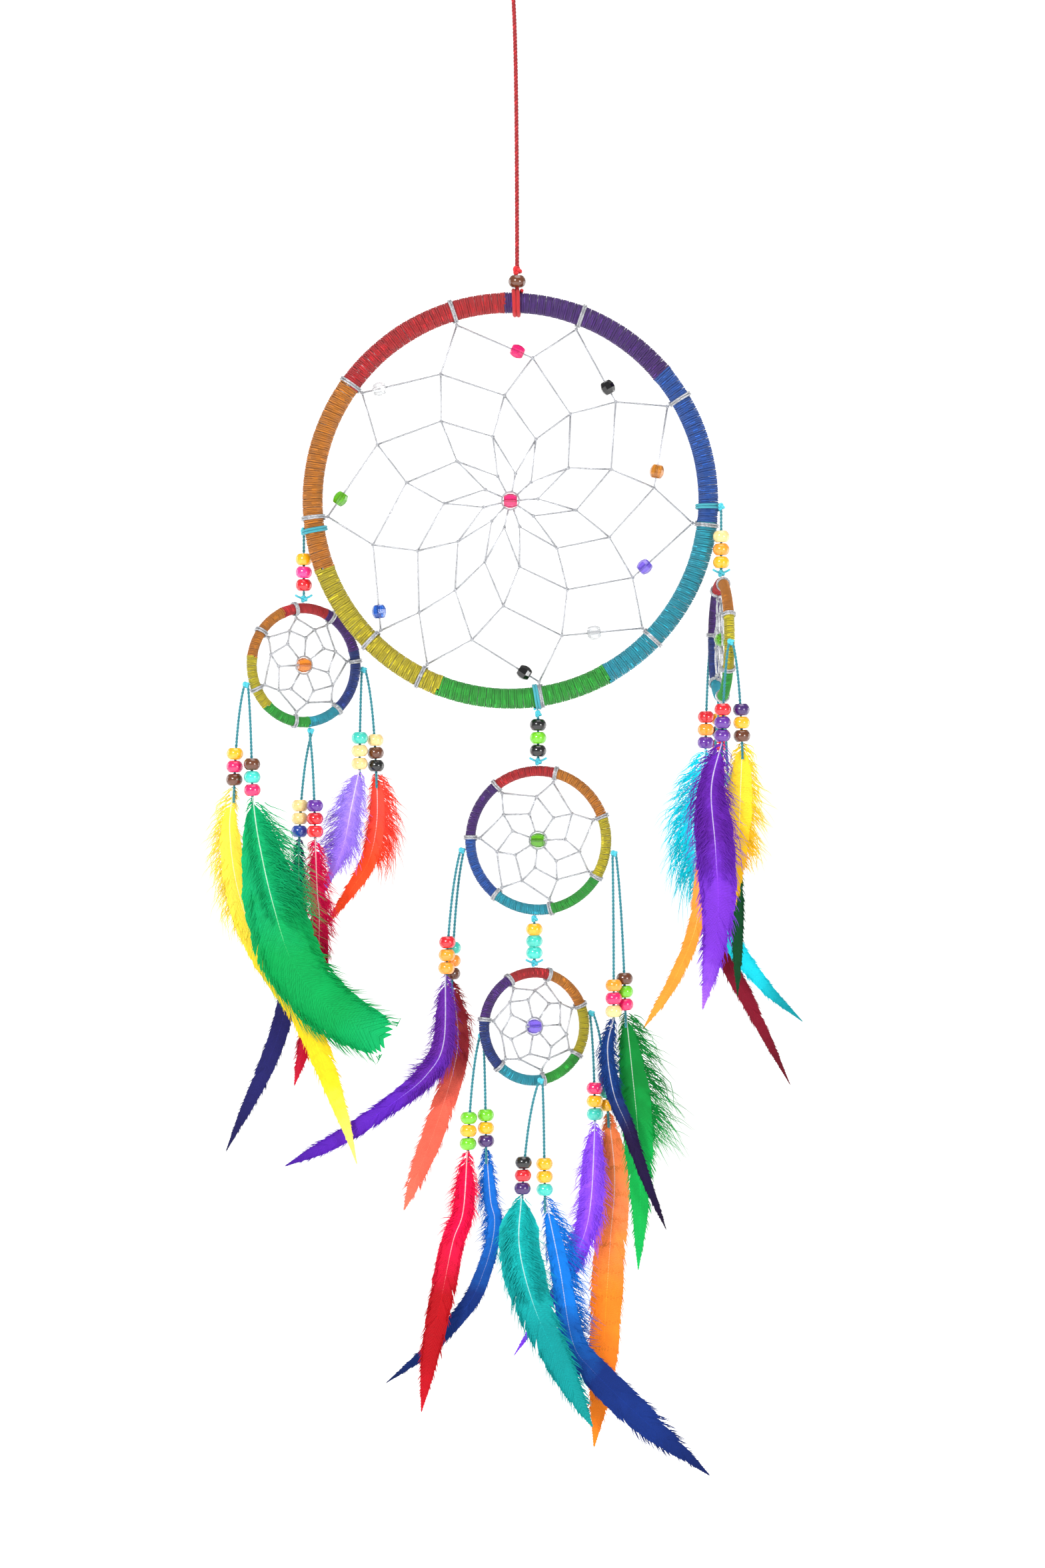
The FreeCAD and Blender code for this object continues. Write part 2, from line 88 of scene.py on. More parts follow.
MM = 0.001
Colour = tuple[float, float, float]


def dye(code: str) -> Colour:
    """A linear colour from a six-figure paint code.

    Args:
        code: the red, green and blue parts as hexadecimal figures.

    Returns:
        The colour as Blender's shaders take it.
    """
    parts = [int(code[i:i + 2], 16) / 255 for i in (0, 2, 4)]
    return tuple(p / 12.92 if p <= 0.04045 else ((p + 0.055) / 1.055) ** 2.4 for p in parts)


class Paint(Enum):
    """Lacquer and thread colours of the maker's stock."""

    RED = "cc1020"
    SCARLET = "e8202a"
    PINK = "ff2f86"
    MAGENTA = "e01561"
    ORANGE = "f7941e"
    YELLOW = "f4ae0e"
    LEMON = "f6e01e"
    CREAM = "e6c684"
    GREEN = "6cc41a"
    GRASS = "2fcb3e"
    TEAL = "3bbfae"
    AQUA = "38c6b6"
    CYAN = "24c3df"
    SKY = "55dcf2"
    BLUE = "2467cf"
    NAVY = "1c3f9c"
    PURPLE = "5a2390"
    PLUM = "3a1560"
    LILAC = "8a6cf0"
    AMBER = "d98a1e"
    CLEAR = "f2f4f6"
    BROWN = "5e2f14"
    BLACK = "070709"

    @property
    def linear(self) -> Colour:
        """The colour as shaders take it."""
        return dye(self.value)


# ------------------------------------------------------------------ shader sheets
class Reading:
    """A shader value that can be added, multiplied and compared like a number."""

    def __init__(self, sheet: "Sheet", socket: bpy.types.NodeSocket) -> None:
        """Keep the sheet and the socket that gives the value."""
        self.sheet, self.socket = sheet, socket

    def through(self, operation: str, *others: "Reading | float") -> "Reading":
        """Put the value through a Math node.

        Args:
            operation: the Math node's operation.
            others: its second and third values.

        Returns:
            The node's result.
        """
        values = dict(enumerate((self, *others)))
        return self.sheet.node("ShaderNodeMath", {"operation": operation}, values)

    def __add__(self, other: "Reading | float") -> "Reading":
        """Sum."""
        return self.through("ADD", other)

    __radd__ = __add__

    def __mul__(self, other: "Reading | float") -> "Reading":
        """Product."""
        return self.through("MULTIPLY", other)

    __rmul__ = __mul__

    def __sub__(self, other: "Reading | float") -> "Reading":
        """Difference."""
        return self.through("SUBTRACT", other)

    def __rsub__(self, other: float) -> "Reading":
        """A number less the value."""
        return self * -1.0 + other

    def sine(self) -> "Reading":
        """Sine of the value in radians."""
        return self.through("SINE")

    def size(self) -> "Reading":
        """The value without its sign."""
        return self.through("ABSOLUTE")

    def held(self) -> "Reading":
        """The value kept between 0 and 1."""
        return self.through("MAXIMUM", 0.0).through("MINIMUM", 1.0)


class Sheet:
    """One material's nodes, drawn up from expressions."""

    def __init__(self, name: str) -> None:
        """Start a material with its Principled shader.

        Args:
            name: the material's name.
        """
        self.material = bpy.data.materials.new(name)
        self.material.use_nodes = True
        self.tree = self.material.node_tree
        self.shader = next(n for n in self.tree.nodes if n.type == "BSDF_PRINCIPLED")

    def node(self, kind: str, settings: dict[str, object], values: dict[object, object],
             result: int | str = 0) -> Reading:
        """Add a node.

        Args:
            kind: the node's type.
            settings: its settings; "stops" gives a ramp's places and colours.
            values: numbers or readings for its sockets, by name or place.
            result: which of its outputs to read.

        Returns:
            The reading of that output.
        """
        node = self.tree.nodes.new(kind)
        for key, value in settings.items():
            if key == "stops":
                ramp = node.color_ramp
                for place, _ in value[2:]:
                    ramp.elements.new(place)
                for stop, (place, colour) in zip(ramp.elements, sorted(value)):
                    stop.position, stop.color = place, (*colour, 1.0)
            else:
                setattr(node, key, value)
        for key, value in values.items():
            if isinstance(value, Reading):
                self.tree.links.new(value.socket, node.inputs[key])
            else:
                node.inputs[key].default_value = value
        return Reading(self, node.outputs[result])

    def feed(self, socket: str, value: object) -> None:
        """Give one of the shader's sockets a constant or a reading.

        Args:
            socket: the socket's name.
            value: a number, a colour or a reading.
        """
        target = self.shader.inputs[socket]
        if isinstance(value, Reading):
            self.tree.links.new(value.socket, target)
        elif isinstance(value, tuple):
            target.default_value = (*value, 1.0)
        else:
            target.default_value = value

    def place(self) -> Reading:
        """The point on the piece, in metres."""
        return self.node("ShaderNodeTexCoord", {}, {}, "Object")

    def chart(self) -> tuple[Reading, Reading]:
        """The piece's own two surface coordinates.

        Returns:
            The reading across and the reading along.
        """
        chart = self.node("ShaderNodeTexCoord", {}, {}, "UV")
        split = self.node("ShaderNodeSeparateXYZ", {}, {0: chart}, "X")
        return split, Reading(self, split.socket.node.outputs["Y"])

    def cloud(self, scale: float, detail: float = 3.0) -> Reading:
        """Soft noise in the piece's own space.

        Args:
            scale: how many lumps fit in a metre.
            detail: how many finer layers it has.

        Returns:
            The noise from 0 to 1.
        """
        return self.node("ShaderNodeTexNoise", {}, {"Vector": self.place(), "Scale": scale,
                                                     "Detail": detail}, "Fac")

    def blend(self, share: Reading | float, first: object, second: object) -> Reading:
        """Mix two colours.

        Args:
            share: how much of the second colour there is.
            first: a colour or a reading of one.
            second: a colour or a reading of one.

        Returns:
            The mixed colour.
        """
        def full(c: object) -> object:
            """A plain colour with its opacity added."""
            return (*c, 1.0) if isinstance(c, tuple) else c
        return self.node("ShaderNodeMix", {"data_type": "RGBA"},
                         {0: share, 6: full(first), 7: full(second)}, 2)

    def emboss(self, height: Reading, depth: float, strength: float = 1.0) -> None:
        """Raise the surface by a height pattern.

        Args:
            height: the pattern.
            depth: its height in metres.
            strength: how strongly it shows.
        """
        self.feed("Normal", self.node("ShaderNodeBump", {}, {"Strength": strength,
                                                             "Distance": depth, "Height": height}))


def darker(colour: Colour, share: float) -> Colour:
    """A colour multiplied down (or up, past 1)."""
    return tuple(min(1.0, c * share) for c in colour)


@dataclass(frozen=True)
class SpunThread:
    """Spun cotton or silk thread: two strands twisted together, with painted shade in the grooves
    between them, and a little lint.
    """

    name: str
    colour: Colour
    twists: float
    sheen: float = 0.06
    # How dark the painted shade in the grooves between the two strands is, as a share of the
    # thread's colour.
    shade: float = 0.66

    def make(self) -> bpy.types.Material:
        """Draw up the finish.

        Returns:
            The material.
        """
        sheet = Sheet(self.name)
        around, along = sheet.chart()
        strand = ((along * self.twists + around) * (2 * math.pi)).sine() * 0.5 + 0.5
        lint = sheet.cloud(2600.0)
        worn = sheet.cloud(55.0)
        # Painted shade: the colour darkens in the grooves between the twisted strands and keeps
        # its full colour on their crests.
        base = sheet.blend(strand.held(), darker(self.colour, self.shade), self.colour)
        base = sheet.blend((worn - 0.35).held() * 0.55, base, darker(self.colour, 1.35))
        sheet.feed("Base Color", sheet.blend(lint * 0.3, base, darker(self.colour, 0.84)))
        sheet.feed("Roughness", lint * 0.3 + 0.4)
        sheet.feed("Sheen Weight", self.sheen)
        sheet.emboss(strand + lint * 0.4, 0.00018)
        return sheet.material


@dataclass(frozen=True)
class SilverThread:
    """Metallic braided thread: painted shade in the grooves between its bright turns, and dark
    flecks.
    """

    name: str
    twists: float

    def make(self) -> bpy.types.Material:
        """Draw up the finish.

        Returns:
            The material.
        """
        sheet = Sheet(self.name)
        around, along = sheet.chart()
        turn = ((along * self.twists + around * 2.0) * (2 * math.pi)).sine() * 0.5 + 0.5
        fleck = sheet.cloud(1500.0, 2.0)
        dark = ((fleck - 0.52) * 9.0).held()
        # Painted shade: darker grey in the grooves between the braid's turns, silver on their
        # crests.
        base = sheet.blend(turn.held(), (0.36, 0.37, 0.40), (0.80, 0.81, 0.84))
        sheet.feed("Base Color", sheet.blend(dark * 0.45, base, (0.05, 0.05, 0.06)))
        sheet.feed("Metallic", 0.75)
        sheet.feed("Roughness", fleck * 0.3 + 0.22)
        sheet.emboss(turn, 0.00015)
        return sheet.material


@dataclass(frozen=True)
class PolishedWood:
    """A turned wooden bead under coloured lacquer, its grain just showing."""

    name: str
    colour: Colour
    grain: float = 0.35

    def make(self) -> bpy.types.Material:
        """Draw up the finish.

        Returns:
            The material.
        """
        sheet = Sheet(self.name)
        stretched = sheet.node("ShaderNodeMapping", {}, {"Vector": sheet.place(),
                                                         "Scale": (1.0, 1.0, 0.28)})
        grain = sheet.node("ShaderNodeTexNoise", {}, {"Vector": stretched, "Scale": 900.0,
                                                      "Detail": 6.0, "Distortion": 0.8}, "Fac")
        pool = sheet.cloud(260.0)
        streak = ((grain - 0.45) * 4.0).held()
        base = sheet.blend(streak * self.grain, self.colour, darker(self.colour, 0.45))
        sheet.feed("Base Color", sheet.blend((pool - 0.4).held() * 0.6, base,
                                             darker(self.colour, 1.5)))
        sheet.feed("Roughness", grain * 0.2 + 0.14)
        sheet.feed("Coat Weight", 0.7)
        sheet.feed("Coat Roughness", 0.04)
        sheet.emboss(grain, 0.00006, 0.6)
        return sheet.material


@dataclass(frozen=True)
class CutAcrylic:
    """Clear faceted acrylic with a tint and fine scratches."""

    name: str
    colour: Colour
    clear: float = 0.75

    def make(self) -> bpy.types.Material:
        """Draw up the finish.

        Returns:
            The material.
        """
        sheet = Sheet(self.name)
        cloud = sheet.cloud(500.0)
        sheet.feed("Base Color", sheet.blend(cloud * 0.5, self.colour, darker(self.colour, 0.6)))
        sheet.feed("Roughness", cloud * 0.1 + 0.02)
        sheet.feed("Transmission Weight", self.clear)
        sheet.feed("IOR", 1.49)
        sheet.feed("Coat Weight", 0.5)
        sheet.emboss(sheet.cloud(4000.0), 0.00002, 0.4)
        return sheet.material


@dataclass(frozen=True)
class DyedFeather:
    """A dyed feather, from the down at its quill to the vane's tip."""

    name: str
    down: Colour
    vane: Colour
    tip: Colour
    length: float
    bars: float = 0.0

    def make(self) -> bpy.types.Material:
        """Draw up the finish.

        Returns:
            The material.
        """
        sheet = Sheet(self.name)
        along, across = sheet.chart()
        cloud = sheet.cloud(70.0)
        fine = sheet.cloud(1400.0, 2.0)
        place = along + (cloud - 0.5) * 0.16
        base = sheet.node("ShaderNodeValToRGB", {"stops": [
            (0.0, self.down), (1.0, self.tip), (0.3, self.down), (0.55, self.vane),
            (0.8, self.vane)]}, {0: place}, "Color")
        barbs = ((along * (self.length / 0.0011) - across.size() * 9.0)
                 * (2 * math.pi)).sine() * 0.5 + 0.5
        streak = sheet.node("ShaderNodeTexNoise", {}, {"Vector": sheet.node(
            "ShaderNodeCombineXYZ", {}, {0: along * (self.length * 420.0) - across * 3.2,
                                         1: across * 0.35}), "Scale": 1.0, "Detail": 2.0}, "Fac")
        base = sheet.blend(barbs.held() * 0.28, base, darker(self.vane, 0.4))
        base = sheet.blend(((streak - 0.5) * 2.6).held() * 0.5, base, darker(self.vane, 0.4))
        base = sheet.blend((cloud - 0.5).held() * 0.9, base, darker(self.vane, 1.5))
        if self.bars:
            bar = ((along * 13.0 + fine * 0.12) * (2 * math.pi)).sine()
            base = sheet.blend(((bar - 0.93) * 14.0).held() * self.bars, base,
                               darker(self.vane, 0.5))
        sheet.feed("Base Color", base)
        sheet.feed("Roughness", fine * 0.25 + 0.45)
        sheet.feed("Specular IOR Level", 0.12)
        sheet.emboss(barbs + fine * 0.5, 0.00008, 0.5)
        return sheet.material


@dataclass(frozen=True)
class DrawnWire:
    """Plain drawn steel wire, with light scratches along it."""

    name: str

    def make(self) -> bpy.types.Material:
        """Draw up the finish.

        Returns:
            The material.
        """
        sheet = Sheet(self.name)
        scratch = sheet.cloud(1900.0)
        sheet.feed("Base Color", sheet.blend(scratch, (0.42, 0.42, 0.44), (0.66, 0.66, 0.68)))
        sheet.feed("Metallic", 1.0)
        sheet.feed("Roughness", scratch * 0.3 + 0.3)
        return sheet.material


@dataclass(frozen=True)
class StudioPaper:
    """Seamless white paper of the studio."""

    name: str

    def make(self) -> bpy.types.Material:
        """Draw up the finish.

        Returns:
            The material.
        """
        sheet = Sheet(self.name)
        tone = sheet.cloud(3.0)
        sheet.feed("Base Color", sheet.blend(tone, (0.93, 0.93, 0.92), (0.97, 0.97, 0.965)))
        sheet.feed("Roughness", 0.95)
        sheet.feed("Specular IOR Level", 0.0)
        sheet.feed("Emission Color", (1.0, 1.0, 0.995))
        sheet.feed("Emission Strength", 0.5)
        return sheet.material


# ------------------------------------------------------------------ bench work
def only(*objects: bpy.types.Object) -> None:
    """Select these objects alone, the first one active.

    Args:
        objects: what the next operator acts on.
    """
    bpy.ops.object.select_all(action="DESELECT")
    for obj in objects:
        obj.select_set(True)
    bpy.context.view_layer.objects.active = objects[0]


def join(name: str, objects: list[bpy.types.Object]) -> bpy.types.Object:
    """Make several meshes one piece.

    Args:
        name: the piece's name.
        objects: the meshes, the first of which is kept.

    Returns:
        The joined piece.
    """
    only(*objects)
    if len(objects) > 1:
        bpy.ops.object.join()
    piece = bpy.context.view_layer.objects.active
    piece.name = piece.data.name = name
    return piece


def dress(obj: bpy.types.Object, material: bpy.types.Material) -> bpy.types.Object:
    """Give a mesh one finish.

    Args:
        obj: the mesh.
        material: its finish.

    Returns:
        The same mesh.
    """
    obj.data.materials.clear()
    obj.data.materials.append(material)
    return obj


@dataclass
class Run:
    """One length of thread: the points it passes, how its thickness changes, and its ends."""

    points: list[Vector]
    thin: list[float] | None = None
    ring: bool = False


def threads(name: str, runs: list[Run], thick: float, fineness: int = 1) -> bpy.types.Object:
    """Round lengths of thread as one closed mesh, charted round and along each length.

    Args:
        name: the mesh's name.
        runs: the lengths.
        thick: their diameter in metres where a run doesn't thin it.
        fineness: 0 for four sides, 1 for six.

    Returns:
        The mesh.
    """
    curve = bpy.data.curves.new(name, "CURVE")
    curve.dimensions = "3D"
    curve.bevel_depth, curve.bevel_resolution, curve.use_fill_caps = thick / 2, fineness, True
    for run in runs:
        spline = curve.splines.new("POLY")
        spline.points.add(len(run.points) - 1)
        spline.points.foreach_set("co", [c for p in run.points for c in (*p, 1.0)])
        if run.thin:
            spline.points.foreach_set("radius", run.thin)
        spline.use_cyclic_u = run.ring
    obj = bpy.data.objects.new(name, curve)
    bpy.context.collection.objects.link(obj)
    only(obj)
    bpy.ops.object.convert(target="MESH")
    obj = bpy.context.view_layer.objects.active
    bpy.ops.object.mode_set(mode="EDIT")
    bpy.ops.mesh.select_all(action="SELECT")
    bpy.ops.mesh.remove_doubles(threshold=1e-6)
    bpy.ops.object.mode_set(mode="OBJECT")
    bpy.ops.object.shade_smooth()
    return obj


def route_line(points: list[Vector]) -> list[Vector]:
    """The smooth centreline of a cord whose control points are these.

    Args:
        points: the route, in metres.

    Returns:
        Close points along the spline.
    """
    curve = bpy.data.curves.new("route", "CURVE")
    curve.dimensions, curve.resolution_u = "3D", 40
    spline = curve.splines.new("NURBS")
    spline.points.add(len(points) - 1)
    for knot, point in zip(spline.points, points):
        knot.co = (*point, 1.0)
    spline.order_u = 3
    spline.use_endpoint_u = True
    obj = bpy.data.objects.new("route", curve)
    bpy.context.collection.objects.link(obj)
    line = bpy.data.meshes.new_from_object(obj)
    found = [v.co.copy() for v in line.vertices]
    bpy.data.objects.remove(obj)
    bpy.data.meshes.remove(line)
    return found


def evenly(points: list[Vector], step: float) -> list[Vector]:
    """The same line with points an even distance apart.

    Args:
        points: the line.
        step: about how far apart they should be.

    Returns:
        The new points, from end to end.
    """
    line = np.array(points)
    gone = np.concatenate([[0.0], np.cumsum(np.linalg.norm(np.diff(line, axis=0), axis=1))])
    count = max(2, int(round(gone[-1] / step)) + 1)
    at = np.linspace(0.0, gone[-1], count)
    return [Vector(p) for p in np.stack([np.interp(at, gone, line[:, i]) for i in range(3)], 1)]


def sides_of(points: list[Vector]) -> list[tuple[Vector, Vector]]:
    """Two directions across a line at each of its points, turning as little as they can.

    Args:
        points: the line.

    Returns:
        The pairs of directions.
    """
    pairs: list[tuple[Vector, Vector]] = []
    across = Vector((0.31, 0.95, 0.05))
    for index in range(len(points)):
        along = (points[min(index + 1, len(points) - 1)] - points[max(index - 1, 0)]).normalized()
        across = (across - along * across.dot(along)).normalized()
        pairs.append((across, along.cross(across)))
    return pairs


def through(points: list[Vector], count: int) -> list[Vector]:
    """An even, smooth line that passes through every point.

    Args:
        points: the points to pass.
        count: how many points the line has.

    Returns:
        The line.
    """
    ends = [points[0] * 2 - points[1], *points, points[-1] * 2 - points[-2]]
    line: list[Vector] = []
    for a, b, c, d in zip(ends, ends[1:], ends[2:], ends[3:]):
        for step in range(24):
            t = step / 24
            line.append(0.5 * (2 * b + (c - a) * t + (2 * a - 5 * b + 4 * c - d) * t ** 2
                               + (3 * b - a - 3 * c + d) * t ** 3))
    line.append(points[-1])
    length = sum((b - a).length for a, b in zip(line, line[1:]))
    return evenly(line, length / (count - 1))


class Wardrobe:
    """Finishes made once and shared by the pieces that need them."""

    def __init__(self) -> None:
        """Start with nothing made."""
        self.made: dict[str, bpy.types.Material] = {}

    def take(self, finish: SpunThread | SilverThread | PolishedWood | CutAcrylic | DyedFeather
             | DrawnWire | StudioPaper) -> bpy.types.Material:
        """The material of a finish, made on first use.

        Args:
            finish: the finish wanted.

        Returns:
            Its material.
        """
        if finish.name not in self.made:
            self.made[finish.name] = finish.make()
        return self.made[finish.name]


def show(piece: bpy.types.Object, body: str, slot: str, *nodes: str) -> bpy.types.Object:
    """Hang a finished piece on its body and let it stand for its CAD nodes.

    Args:
        piece: the finished piece.
        body: the body it moves with.
        slot: not used.
        nodes: the CAD nodes it stands for.

    Returns:
        The piece.
    """
    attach(piece, body)
    if nodes:
        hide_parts(*nodes)
    faces = sum(len(p.vertices) - 2 for p in piece.data.polygons)
    LOG.info("%s rides on %s, %d triangles", piece.name, body, faces)
    return piece


# ------------------------------------------------------------------ cords, knots and beads
@dataclass
class Rope:
    """A twisted cord of a few plies along a smooth route."""

    name: str
    route: list[Vector]
    thick: float
    plies: int = 2
    pitch: float = 3.4 * MM

    def build(self) -> tuple[bpy.types.Object, list[Vector]]:
        """Twist the plies along the route's own spline.

        Returns:
            The rope and its centreline.
        """
        line = evenly(route_line(self.route), self.pitch / 8)
        lay = 0.27 * self.thick if self.plies == 2 else 0.29 * self.thick
        runs = []
        for ply in range(self.plies):
            points = []
            for index, (point, (across, up)) in enumerate(zip(line, sides_of(line))):
                angle = 2 * math.pi * (index / 8 + ply / self.plies)
                points.append(point + (across * math.cos(angle) + up * math.sin(angle)) * lay)
            runs.append(Run(points))
        wide = 0.54 if self.plies == 2 else 0.5
        return threads(self.name, runs, wide * self.thick), line


@dataclass
class Knot:
    """An overhand knot pulled tight: one cord looped through itself."""

    at: Vector
    wide: float
    cord: float
    lean: float = 0.0

    def build(self, name: str) -> bpy.types.Object:
        """Tie the knot.

        Args:
            name: the mesh's name.

        Returns:
            The knot.
        """
        span = (self.wide - 0.75 * self.cord) / 6
        turn = Matrix.Rotation(self.lean, 3, "Y") @ Matrix.Rotation(0.5, 3, "X")
        points = []
        for index in range(40):
            t = 2 * math.pi * index / 40
            loop = Vector((math.sin(t) + 2 * math.sin(2 * t), 1.25 * math.sin(3 * t),
                           math.cos(t) - 2 * math.cos(2 * t)))
            points.append(self.at + turn @ loop * span)
        return threads(name, [Run(points, ring=True)], self.cord)


@dataclass
class BeadPattern:
    """One turned bead, modelled once and copied to wherever a bead is threaded."""

    wide: float
    high: float
    bore: float
    round_sides: int = 20

    def build(self, name: str) -> bpy.types.Object:
        """Turn the pattern: a flattened ball, cut off above and below and bored through.

        Args:
            name: the mesh's name.

        Returns:
            The bead at the origin.
        """
        bpy.ops.object.select_all(action="DESELECT")
        bpy.ops.mesh.primitive_uv_sphere_add(segments=self.round_sides, ring_count=14,
                                             radius=self.wide / 2)
        bead = bpy.context.view_layer.objects.active
        bead.name = bead.data.name = name
        bpy.ops.object.mode_set(mode="EDIT")
        bpy.ops.transform.resize(value=(1.0, 1.0, self.high / self.wide * 1.28))
        cut = self.high / 2 * 0.98
        for way in (1.0, -1.0):
            bpy.ops.mesh.select_all(action="SELECT")
            bpy.ops.mesh.bisect(plane_co=(0, 0, cut * way), plane_no=(0, 0, way),
                                clear_outer=True, use_fill=False, threshold=1e-6)
        self._bore(bead)
        bpy.ops.mesh.select_all(action="SELECT")
        bpy.ops.mesh.normals_make_consistent(inside=False)
        bpy.ops.object.mode_set(mode="OBJECT")
        bpy.ops.object.shade_smooth_by_angle(angle=math.radians(50))
        return bead

    def _bore(self, bead: bpy.types.Object) -> None:
        """Draw both cut edges in to the bore and join them through the bead.

        Args:
            bead: the bead, in edit mode before and after.
        """
        for way in (1.0, -1.0):
            bpy.ops.mesh.select_all(action="DESELECT")
            bpy.ops.object.mode_set(mode="OBJECT")
            edge = [v for v in bead.data.vertices
                    if v.co.z * way > self.high / 2 * 0.975]
            for vertex in edge:
                vertex.select = True
            wide = max(v.co.xy.length for v in edge)
            bpy.ops.object.mode_set(mode="EDIT")
            share = self.bore / 2 / wide
            bpy.ops.mesh.extrude_region_move()
            bpy.ops.transform.resize(value=(share, share, 1.0))
            bpy.ops.transform.translate(value=(0, 0, -0.07 * self.high * way))
        bpy.ops.mesh.select_all(action="DESELECT")
        bpy.ops.object.mode_set(mode="OBJECT")
        for vertex in bead.data.vertices:
            vertex.select = vertex.co.xy.length < self.bore / 2 * 1.02
        bpy.ops.object.mode_set(mode="EDIT")
        bpy.ops.mesh.select_mode(type="EDGE")
        bpy.ops.mesh.bridge_edge_loops()
        bpy.ops.mesh.select_mode(type="VERT")


def facet_pattern(name: str, wide: float) -> bpy.types.Object:
    """A cut bead: a ball of large flat facets with a thread hole across it.

    Args:
        name: the mesh's name.
        wide: its width in metres.

    Returns:
        The bead at the origin, its hole along Z.
    """
    pattern = BeadPattern(wide, wide * 0.92, 1.2 * MM, 8)
    bead = pattern.build(name)
    only(bead)
    bpy.ops.object.mode_set(mode="EDIT")
    bpy.ops.mesh.select_all(action="SELECT")
    bpy.ops.mesh.dissolve_limited(angle_limit=math.radians(16))
    bpy.ops.object.mode_set(mode="OBJECT")
    bpy.ops.object.shade_flat()
    return bead


def copy_to(pattern: bpy.types.Object, name: str, place: Matrix) -> bpy.types.Object:
    """A copy of a pattern with its own mesh, put in place in its mesh.

    Args:
        pattern: the piece to copy.
        name: the copy's name.
        place: where it goes.

    Returns:
        The copy.
    """
    twin = bpy.data.objects.new(name, pattern.data.copy())
    bpy.context.collection.objects.link(twin)
    twin.data.transform(place)
    return twin


# ------------------------------------------------------------------ hoops and webs
@dataclass
class WoundHoop:
    """A wire hoop close-wound with coloured thread."""

    name: str
    body: str
    turn: float
    radius: float
    tube: float
    thread: float
    colours: list[tuple[float, Paint]]

    def __post_init__(self) -> None:
        """Find the hoop's centre from its core."""
        low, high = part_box(self.name + "_core")
        self.centre = (low + high) / 2
        self.upright = Matrix.Rotation(math.radians(self.turn), 3, "Z") @ Matrix.Rotation(
            math.radians(90), 3, "X")

    def local(self, clock: float, radius: float, front: float = 0.0) -> Vector:
        """A point in the hoop's plane, by clock angle in degrees and radius."""
        a = math.radians(clock)
        return Vector((radius * math.sin(a), radius * math.cos(a), front))

    def point(self, clock: float, radius: float, front: float = 0.0) -> Vector:
        """The same point in the whole piece's frame."""
        return self.centre + self.upright @ self.local(clock, radius, front)

    def wrap(self, clock: float, around: float, reach: float) -> Vector:
        """A point on the hoop's tube.

        Args:
            clock: where along the hoop, in degrees.
            around: how far round the tube, in radians from its outside.
            reach: how far from the tube's middle.

        Returns:
            The point in the whole piece's frame.
        """
        return self.point(clock, self.radius + reach * math.cos(around), reach * math.sin(around))

    def wind(self, paint: Paint, start: float, end: float, seed: int) -> bpy.types.Object:
        """Wind one colour from one clock angle to another.

        Args:
            paint: the thread's colour.
            start: the first clock angle.
            end: the last clock angle.
            seed: picks the small unevenness of the turns.

        Returns:
            The wound thread.
        """
        luck = random.Random(seed)
        per_turn = 12 if self.tube > 8 * MM else 10
        arc = math.radians(end - start) * self.radius
        turns = int(arc / (self.thread * 0.93))
        waves = [(luck.uniform(0.03, 0.3), luck.uniform(0, 6.3)) for _ in range(3)]
        points = []
        for step in range(turns * per_turn + 1):
            share = step / (turns * per_turn)
            turn = share * turns
            lump = sum(math.sin(turn * w + p) for w, p in waves) / 3
            near_end = min(turn, turns - turn)
            piled = 0.45 * math.exp(-(near_end / 1.6) ** 2)
            reach = self.tube / 2 - self.thread * (0.52 - 0.07 * lump - piled * 0.5)
            sway = 0.12 * math.sin(turn * 1.7 + waves[0][1]) * math.degrees(
                self.thread / self.radius)
            around = 2 * math.pi * turn + 0.3 * seed
            points.append(self.wrap(start + (end - start) * share + sway, around, reach))
        wound = threads(f"{self.name}_{paint.name.lower()}_{seed}", [Run(points)],
                        self.thread * 1.06)
        length = turns * math.pi * (self.tube - self.thread)
        finish = SpunThread(f"{self.name}_{paint.name.lower()}_thread", paint.linear,
                            round(length / (1.5 * MM)))
        return dress(wound, WARDROBE.take(finish))

    def build(self) -> None:
        """Wind every colour and finish the wire inside."""
        ends = [clock for clock, _ in self.colours[1:]] + [self.colours[0][0] + 360]
        coils = [self.wind(paint, start, end, index)
                 for index, ((start, paint), end) in enumerate(zip(self.colours, ends))]
        piece = join(self.name + "_wound_thread", coils)
        show(piece, self.body, "winding_thread", self.name + "_winding")
        core = FRAME["nodes"][self.name + "_core"]
        dress(core, WARDROBE.take(DrawnWire("core_wire")))


